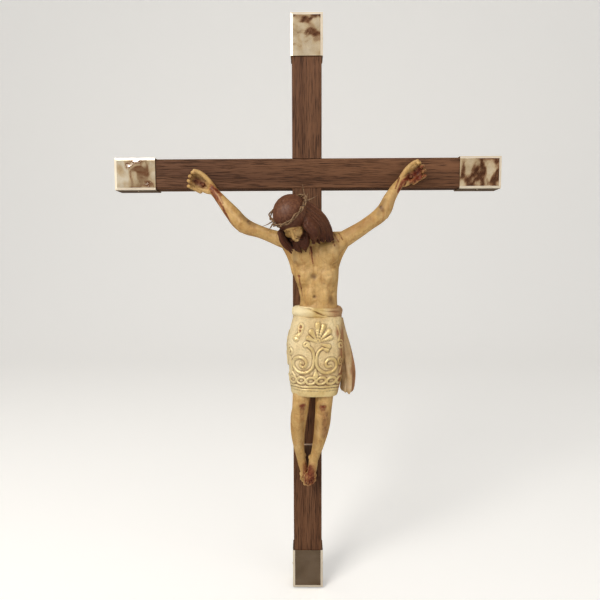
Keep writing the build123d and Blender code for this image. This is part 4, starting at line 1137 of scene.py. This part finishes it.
# painted shade and wear: the whole fold, its lower end and its right edge are darkened, and a stain lies on its
# face
stain_and_painted_shade = patch(fold_points, 45, -198, 9, 13) * 0.75
stain_and_painted_shade = np.maximum(stain_and_painted_shade, np.clip((-206 - fold_points[:, 2]) / 18, 0, 1) * 0.5)
stain_and_painted_shade = np.maximum(stain_and_painted_shade, np.clip((fold_points[:, 0] - 40) / 5, 0, 1) * 0.62)
write_layer(fold, "wear_and_painted_shade", np.maximum(stain_and_painted_shade, 0.4))
mark_hollows(fold, 4, 2.8)
settle(fold, gilt, "cross", "gilded_cloth", "side_fold")


# ---- head: a calm, plain face, a smooth cap of hair, long falls of hair and a short forked beard

head_place = (
    Matrix.Translation(at(-14.5, 45, -48))
    @ Matrix.Rotation(math.radians(-28), 4, "Y")
    @ Matrix.Rotation(math.radians(38), 4, "X")
    @ Matrix.Rotation(math.radians(-24), 4, "Z")
)
head_turn = [math.degrees(angle) for angle in head_place.to_euler()]


def on_head(x, y, z):
    return head_place @ Vector((x, y, z))


def head_ball(centre, half_sizes):
    return ball(on_head(*centre), half_sizes, head_turn)


def head_limb(points, radii):
    return limb([on_head(*point) for point in points], radii)


skull_middle = (0, 1.0, 3.2)
skull_half = (16.6, 19.2, 16.6)
face_lumps = [
    head_ball(skull_middle, skull_half),
    head_ball((0, -4.6, -8.0), (10.6, 12.4, 12.8)),
    head_ball((0, -7.0, -15.5), (7.9, 7.6, 6.6)),
    head_ball((0, -12.2, -20), (3.4, 3.2, 3.0)),
    head_limb([(-8, -12.6, -1.6), (-4, -15.8, -0.8), (0, -16.2, -1.2), (4, -15.8, -0.8), (8, -12.6, -1.6)],
              [1.5, 1.6, 1.4, 1.6, 1.5]),
    head_limb([(0, -15.8, -1.8), (0, -17.5, -6.5), (0, -19.0, -10.8)], [1.3, 1.35, 1.75]),
    head_limb([(-3, -15.2, -15.0), (0, -16.5, -14.7), (3, -15.2, -15.0)], [0.8, 1.0, 0.8]),
    head_limb([(-2.6, -15.0, -16.6), (0, -16.1, -16.8), (2.6, -15.0, -16.6)], [0.8, 1.1, 0.8]),
]
for sign in (-1, 1):
    face_lumps += [
        head_ball((sign * 5.8, -11.8, -10.0), (3.6, 3.2, 3.8)),
        head_ball((sign * 4.3, -13.8, -5.0), (2.4, 1.9, 1.5)),
        head_ball((sign * 1.8, -17.0, -11.2), (1.1, 1.4, 1.0)),
    ]
beard_runs = []
for sign in (-1, 1):
    beard_runs += [
        ([(sign * 0.6, -17.0, -13.3), (sign * 3.4, -16.0, -14.4), (sign * 5.8, -13.4, -17.5)],
         [1.1, 1.4, 1.1]),
        ([(sign * 9.8, -3, -7), (sign * 9.6, -6.5, -14), (sign * 7.2, -11, -21)], [2.2, 3.2, 3.6]),
        ([(sign * 2.4, -12.8, -20.5), (sign * 3.4, -14.0, -27), (sign * 2.2, -14.6, -33)], [4.4, 3.8, 1.0]),
        ([(sign * 5.8, -11.2, -19), (sign * 6.4, -12.4, -25), (sign * 5.0, -13, -30.5)], [3.6, 3.2, 1.0]),
    ]
beard_lumps = [head_limb(points, radii) for points, radii in beard_runs]

# falls of hair hang in the room's own upright, not the head's
hair_runs = []


def hang(count, radii, *spans):
    """A row of locks between two edge locks: each span gives one point of both."""
    for share in np.linspace(0, 1, count):
        line = [Vector(one).lerp(Vector(other), share) for one, other in spans]
        line[-1] += Vector((rng.normal(0, 0.5), 0, rng.normal(0, 1.1)))
        hair_runs.append((line, radii))


hang(9, [5.5, 5.0, 4.0, 1.8],
     ((-4, -60, -37), (1, -73, -57)), ((11, -53, -46), (5.5, -71, -63)),
     ((20, -48, -58), (6, -68, -67)), ((24.5, -47, -68.5), (6.5, -64, -72)))
hang(3, [2.1, 2.4, 1.5],
     ((-26, -70, -64), (-24, -60, -60)), ((-22.5, -68.5, -73), (-20, -59, -70)),
     ((-14, -66, -81), (-13, -57, -78)))
hang(7, [7.0, 5.6, 3.0],
     ((-26, -50, -48), (0, -48, -40)), ((-15, -39, -58), (11, -38, -54)), ((-9, -33.5, -66), (18, -32, -66)))
hair_lumps = [limb(points, radii) for points, radii in hair_runs]
neck_lump = limb([at(3.5, 24, -62), on_head(0, 2, -8)], [7.4, 7.4])

head = melt(face_lumps + beard_lumps + hair_lumps + [neck_lump], "head_carving", 0.42, 5)

head_strokes = []
for sign in (-1, 1):
    head_strokes += [
        ([on_head(sign * 6.7, -13.6, -4.0), on_head(sign * 4.3, -15.6, -3.3), on_head(sign * 2.0, -15.6, -3.7)],
         1.5, -0.9),
        ([on_head(sign * 6.5, -13.7, -5.7), on_head(sign * 4.3, -15.7, -5.8), on_head(sign * 2.2, -15.2, -5.4)],
         0.8, -0.45),
        ([on_head(sign * 2.6, -16.8, -11.0), on_head(sign * 4.4, -15.0, -14.5)], 1.1, -0.5),
    ]
mouth = [on_head(-3.2, -15.4, -15.8), on_head(0, -16.8, -15.7), on_head(3.2, -15.4, -15.8)]
head_strokes.append((mouth, 0.8, -0.7))
carve(head, head_strokes)


def comb(piece, runs, count, width, depth, spread):
    """Draw strands into hair along the falls."""
    grooves = []
    for points, radii in runs:
        for _ in range(count):
            shift = Vector(rng.normal(0, 1, 3)).normalized()
            grooves.append(([Vector(p) + shift * (r * spread) for p, r in zip(points, radii)], width, depth))
    carve(piece, grooves)


world_beard = [([on_head(*p) for p in points], radii) for points, radii in beard_runs]
comb(head, hair_runs, 7, 1.5, -0.75, 1.0)
comb(head, world_beard, 6, 1.1, -0.55, 1.0)
cap_grooves = []
cap_strands = 46
for k in range(cap_strands):
    turn = 2 * math.pi * k / cap_strands + rng.normal(0, 0.03)
    line = []
    for rise in np.linspace(0.15, 1.35, 7):
        spin = turn + 0.35 * rise
        line.append(on_head(
            skull_half[0] * math.sin(rise) * math.cos(spin),
            skull_middle[1] + skull_half[1] * math.sin(rise) * math.sin(spin),
            skull_middle[2] + skull_half[2] * math.cos(rise),
        ))
    cap_grooves.append((line, 1.0, -0.22))
carve(head, cap_grooves)
soften(head, 1, 0.3)
lay_flat_behind(head, wood_front - 0.2)
mark_hollows(head, 4, 2.0)

back_to_head = head_place.inverted()
head_points = points_of(head)
turned = np.array(back_to_head.to_3x3())
local = head_points @ turned.T + np.array(back_to_head.translation)
bare = 1 - np.hypot(local[:, 0] / 9.4, (local[:, 2] + 7.4) / 8.4) ** 2
bare = np.clip(bare * 4, 0, 1) * np.clip((-6 - local[:, 1]) / 2, 0, 1)
beard_near = np.full(len(local), 1e9)
for points, radii in world_beard:
    beard_near = np.minimum(beard_near, reach_of(head_points, points) / np.mean(radii))
bare *= np.clip((beard_near - 0.95) * 4, 0, 1)
lips = np.hypot(local[:, 0] / 3.4, (local[:, 2] + 15.7) / 1.5) < 1
bare = np.maximum(bare, lips * (local[:, 1] < -13))
write_layer(head, "hair", 1 - bare)
# painted shade: darker towards the lower ends of the hair
write_layer(head, "shade", np.clip((-42 - head_points[:, 2]) / 24, 0, 1))
dab(head, "blood_and_painted_shade", [
    ([on_head(-4, -16, 2), on_head(-5, -15, -4), on_head(-5.5, -14, -9)], 1.0, 0.7),
    ([on_head(3, -16, 2), on_head(3.4, -16, -3), on_head(3.2, -15, -7)], 0.9, 0.65),
])
settle(head, head_paint, "cross", "painted_carving", "head")


# ---- crown: two knotty twigs wound round each other, close on the hair, with long thorns

def crown_level(turn):
    """The band sits low at the left temple and rises over the brow to the right."""
    return 6.2 + 4.6 * np.cos(turn) - 1.6 * np.sin(turn)


crown_turns = np.linspace(-math.pi, math.pi, 120, endpoint=False)
spot_turns = np.arctan2(local[:, 1] - skull_middle[1], local[:, 0])
spot_reach = np.hypot(local[:, 1] - skull_middle[1], local[:, 0])
near_band = np.abs(local[:, 2] - crown_level(spot_turns)) < 2.2
hair_reach = []
for turn in crown_turns:
    apart = np.abs((spot_turns - turn + math.pi) % (2 * math.pi) - math.pi)
    hair_reach.append(spot_reach[near_band & (apart < 0.08)].clip(max=24).max())
hair_reach = np.array(hair_reach)
for _ in range(6):
    painted_top_highlight = (np.roll(hair_reach, 1) + 2 * hair_reach + np.roll(hair_reach, -1)) / 4
    hair_reach = np.maximum(hair_reach, painted_top_highlight)


def crown_spot(turn, rise, lift):
    """A point of the crown, by its turn round the head, its rise over the band and its lift off the hair."""
    reach = np.interp(turn, crown_turns, hair_reach, period=2 * math.pi) + lift
    return (reach * math.cos(turn), skull_middle[1] + reach * math.sin(turn), crown_level(turn) + rise)


# each thorn as its turn round the head, the way it points in the room and its length
thorns = {
    "a": [(-3.05, (-0.87, -0.2, -0.45), 13), (-2.6, (-0.5, -0.3, -0.8), 7), (-0.9, (0.3, -0.8, 0.4), 5),
          (0.6, (-0.2, -0.1, 0.97), 13), (1.6, (0.1, 0.6, 0.8), 6)],
    "b": [(-2.95, (-0.45, -0.1, 0.85), 7), (-1.6, (0.2, -0.7, 0.6), 5), (0.1, (0.92, -0.1, 0.38), 13),
          (0.35, (0.3, 0.1, 0.9), 6), (2.3, (-0.2, 0.8, 0.5), 5)],
}
room_to_head = head_place.to_3x3().inverted()
for stem, start in (("a", 0.0), ("b", math.pi)):
    lumps = []
    around = np.linspace(-math.pi + 0.02, math.pi - 0.02, 97)
    path, widths = [], []
    for k, turn in enumerate(around):
        twist = start + 7 * turn + 0.5 * math.sin(3 * turn + start)
        sway = 0.5 * math.sin(5 * turn + 2 * start)
        path.append(crown_spot(turn, 1.15 * math.sin(twist) + sway, 1.9 + 1.05 * math.cos(twist)))
        widths.append(0.72 + 0.3 * (k % 12 == 4) + 0.16 * (k % 12 in (3, 5)))
    lumps.append(head_limb(path, widths))
    for turn, way, length in thorns[stem]:
        root = Vector(path[int(np.argmin(np.abs(around - turn)))])
        point = room_to_head @ Vector(way).normalized()
        bend = room_to_head @ Vector((0, 0, -0.05 * length))
        halfway = root + point * length * 0.5 + bend
        lumps.append(head_limb([root, halfway, root + point * length], [0.75, 0.5, 0.16]))
    wound = melt(lumps, "crown_stem_" + stem + "_twig", 0.2, 1)
    mark_hollows(wound, 2, 2.0)
    settle(wound, twig, "cross", "crown_twig", "crown_stem_" + stem)


# ---- camera, light and stage

camera_place = (-1.5, -505.7, -93.7)
camera_tilt = (4.21, -0.71, -0.19)  # pitch, yaw and roll
photo_width, focal_length = 600, 470  # in pixels


def camera_from_photo():
    pitch, yaw, roll = (math.radians(angle) for angle in camera_tilt)
    turn_z = Matrix(((math.cos(yaw), -math.sin(yaw), 0), (math.sin(yaw), math.cos(yaw), 0), (0, 0, 1)))
    turn_x = Matrix(((1, 0, 0), (0, math.cos(pitch), -math.sin(pitch)), (0, math.sin(pitch), math.cos(pitch))))
    turn_y = Matrix(((math.cos(roll), 0, math.sin(roll)), (0, 1, 0), (-math.sin(roll), 0, math.cos(roll))))
    rows = turn_y @ turn_x @ turn_z
    right, ahead, up = rows[0], rows[1], rows[2]
    lens = bpy.data.cameras.new("camera")
    lens.sensor_width = 36
    lens.lens = 36 * focal_length / photo_width
    lens.clip_start = 0.01
    camera = bpy.data.objects.new("camera", lens)
    place = Matrix((right, up, -ahead)).transposed().to_4x4()
    place.translation = Vector(camera_place) * MILLIMETRE
    camera.matrix_world = place
    bpy.context.scene.collection.objects.link(camera)
    bpy.context.scene.camera = camera


def lamp(name, place, aim, size, watts, colour=(1, 1, 1)):
    data = bpy.data.lights.new(name, "AREA")
    data.size = size
    data.energy = watts
    data.color = colour
    made = bpy.data.objects.new(name, data)
    made.location = place
    made.rotation_euler = (Vector(aim) - Vector(place)).to_track_quat("-Z", "Y").to_euler()
    bpy.context.scene.collection.objects.link(made)
    return made


def studio():
    floor_level = cad_low[2] - 0.002
    bend = 1.2  # where the floor starts to rise, and the radius of its bend
    profile = [(-3.0, floor_level), (bend, floor_level)]
    profile += [
        (bend + bend * math.sin(a), floor_level + bend * (1 - math.cos(a)))
        for a in np.linspace(0.1, math.pi / 2, 12)
    ]
    profile.append((2 * bend, 4.0))
    points = [(x, y, z) for x in (-5, 5) for y, z in profile]
    count = len(profile)
    faces = [(k, k + 1, count + k + 1, count + k) for k in range(count - 1)]
    sweep = mesh_of("studio_floor", points, faces)
    finish, tree, shader = new_finish("studio_paper", 0.9)
    paths = add(tree, "LightPath")
    # painted reflection: the floor shows brown to reflection rays only
    paper_and_painted_reflection = mix(tree, paths.outputs["Is Glossy Ray"], tint(246, 244, 240), tint(120, 104, 88))
    tree.links.new(paper_and_painted_reflection, shader.inputs["Base Color"])
    shader.inputs["Emission Color"].default_value = tint(246, 244, 240)
    glow = sums(tree, "MULTIPLY", paths.outputs["Is Camera Ray"], 0.25)
    tree.links.new(glow, shader.inputs["Emission Strength"])
    sweep.data.materials.append(finish)
    world = bpy.data.worlds.new("studio_air")
    bpy.context.scene.world = world
    world.use_nodes = True
    tree = world.node_tree
    tree.nodes.clear()
    rays = add(tree, "LightPath")
    seen = sums(tree, "MAXIMUM", rays.outputs["Is Camera Ray"], rays.outputs["Is Transmission Ray"])
    air = add(tree, "Background", {"Color": (1, 1, 1, 1), "Strength": 0.45})
    pale = add(tree, "Background", {"Color": tint(238, 236, 232), "Strength": 1.0})
    # what polished metal mirrors: a room with pale and dark brown things in it
    seen_way = add(tree, "NewGeometry").outputs["Incoming"]
    things = add(tree, "TexNoise", {"Vector": seen_way, "Scale": 2.3, "Detail": 1.0, "Distortion": 0.5})
    upwards = add(tree, "SeparateXYZ", {0: seen_way}).outputs["Z"]
    darker = sums(tree, "MULTIPLY", sums(tree, "MINIMUM", sums(tree, "ADD", upwards, 0.25), 0.0), 0.35)
    room = steps(tree, sums(tree, "ADD", things.outputs["Fac"], darker), [
        (0.32, tint(84, 54, 40)), (0.42, tint(146, 104, 78)), (0.5, tint(218, 198, 166)),
        (0.7, tint(246, 242, 232)),
    ])
    mirrored = add(tree, "Background", {"Color": room, "Strength": 1.0})
    lit = add(tree, "MixShader", {0: rays.outputs["Is Glossy Ray"], 1: air.outputs[0], 2: mirrored.outputs[0]})
    everything = add(tree, "MixShader", {0: seen, 1: lit.outputs[0], 2: pale.outputs[0]})
    output = add(tree, "OutputWorld")
    tree.links.new(everything.outputs[0], output.inputs["Surface"])
    lamp("key_light", (-0.75, -1.0, 0.75), (0, 0, -0.1), 0.7, 16, (1.0, 0.97, 0.93))
    fill = lamp("fill_light", (0.9, -0.9, 0.1), (0, 0, -0.1), 1.0, 3)
    fill.visible_glossy = False


camera_from_photo()
studio()
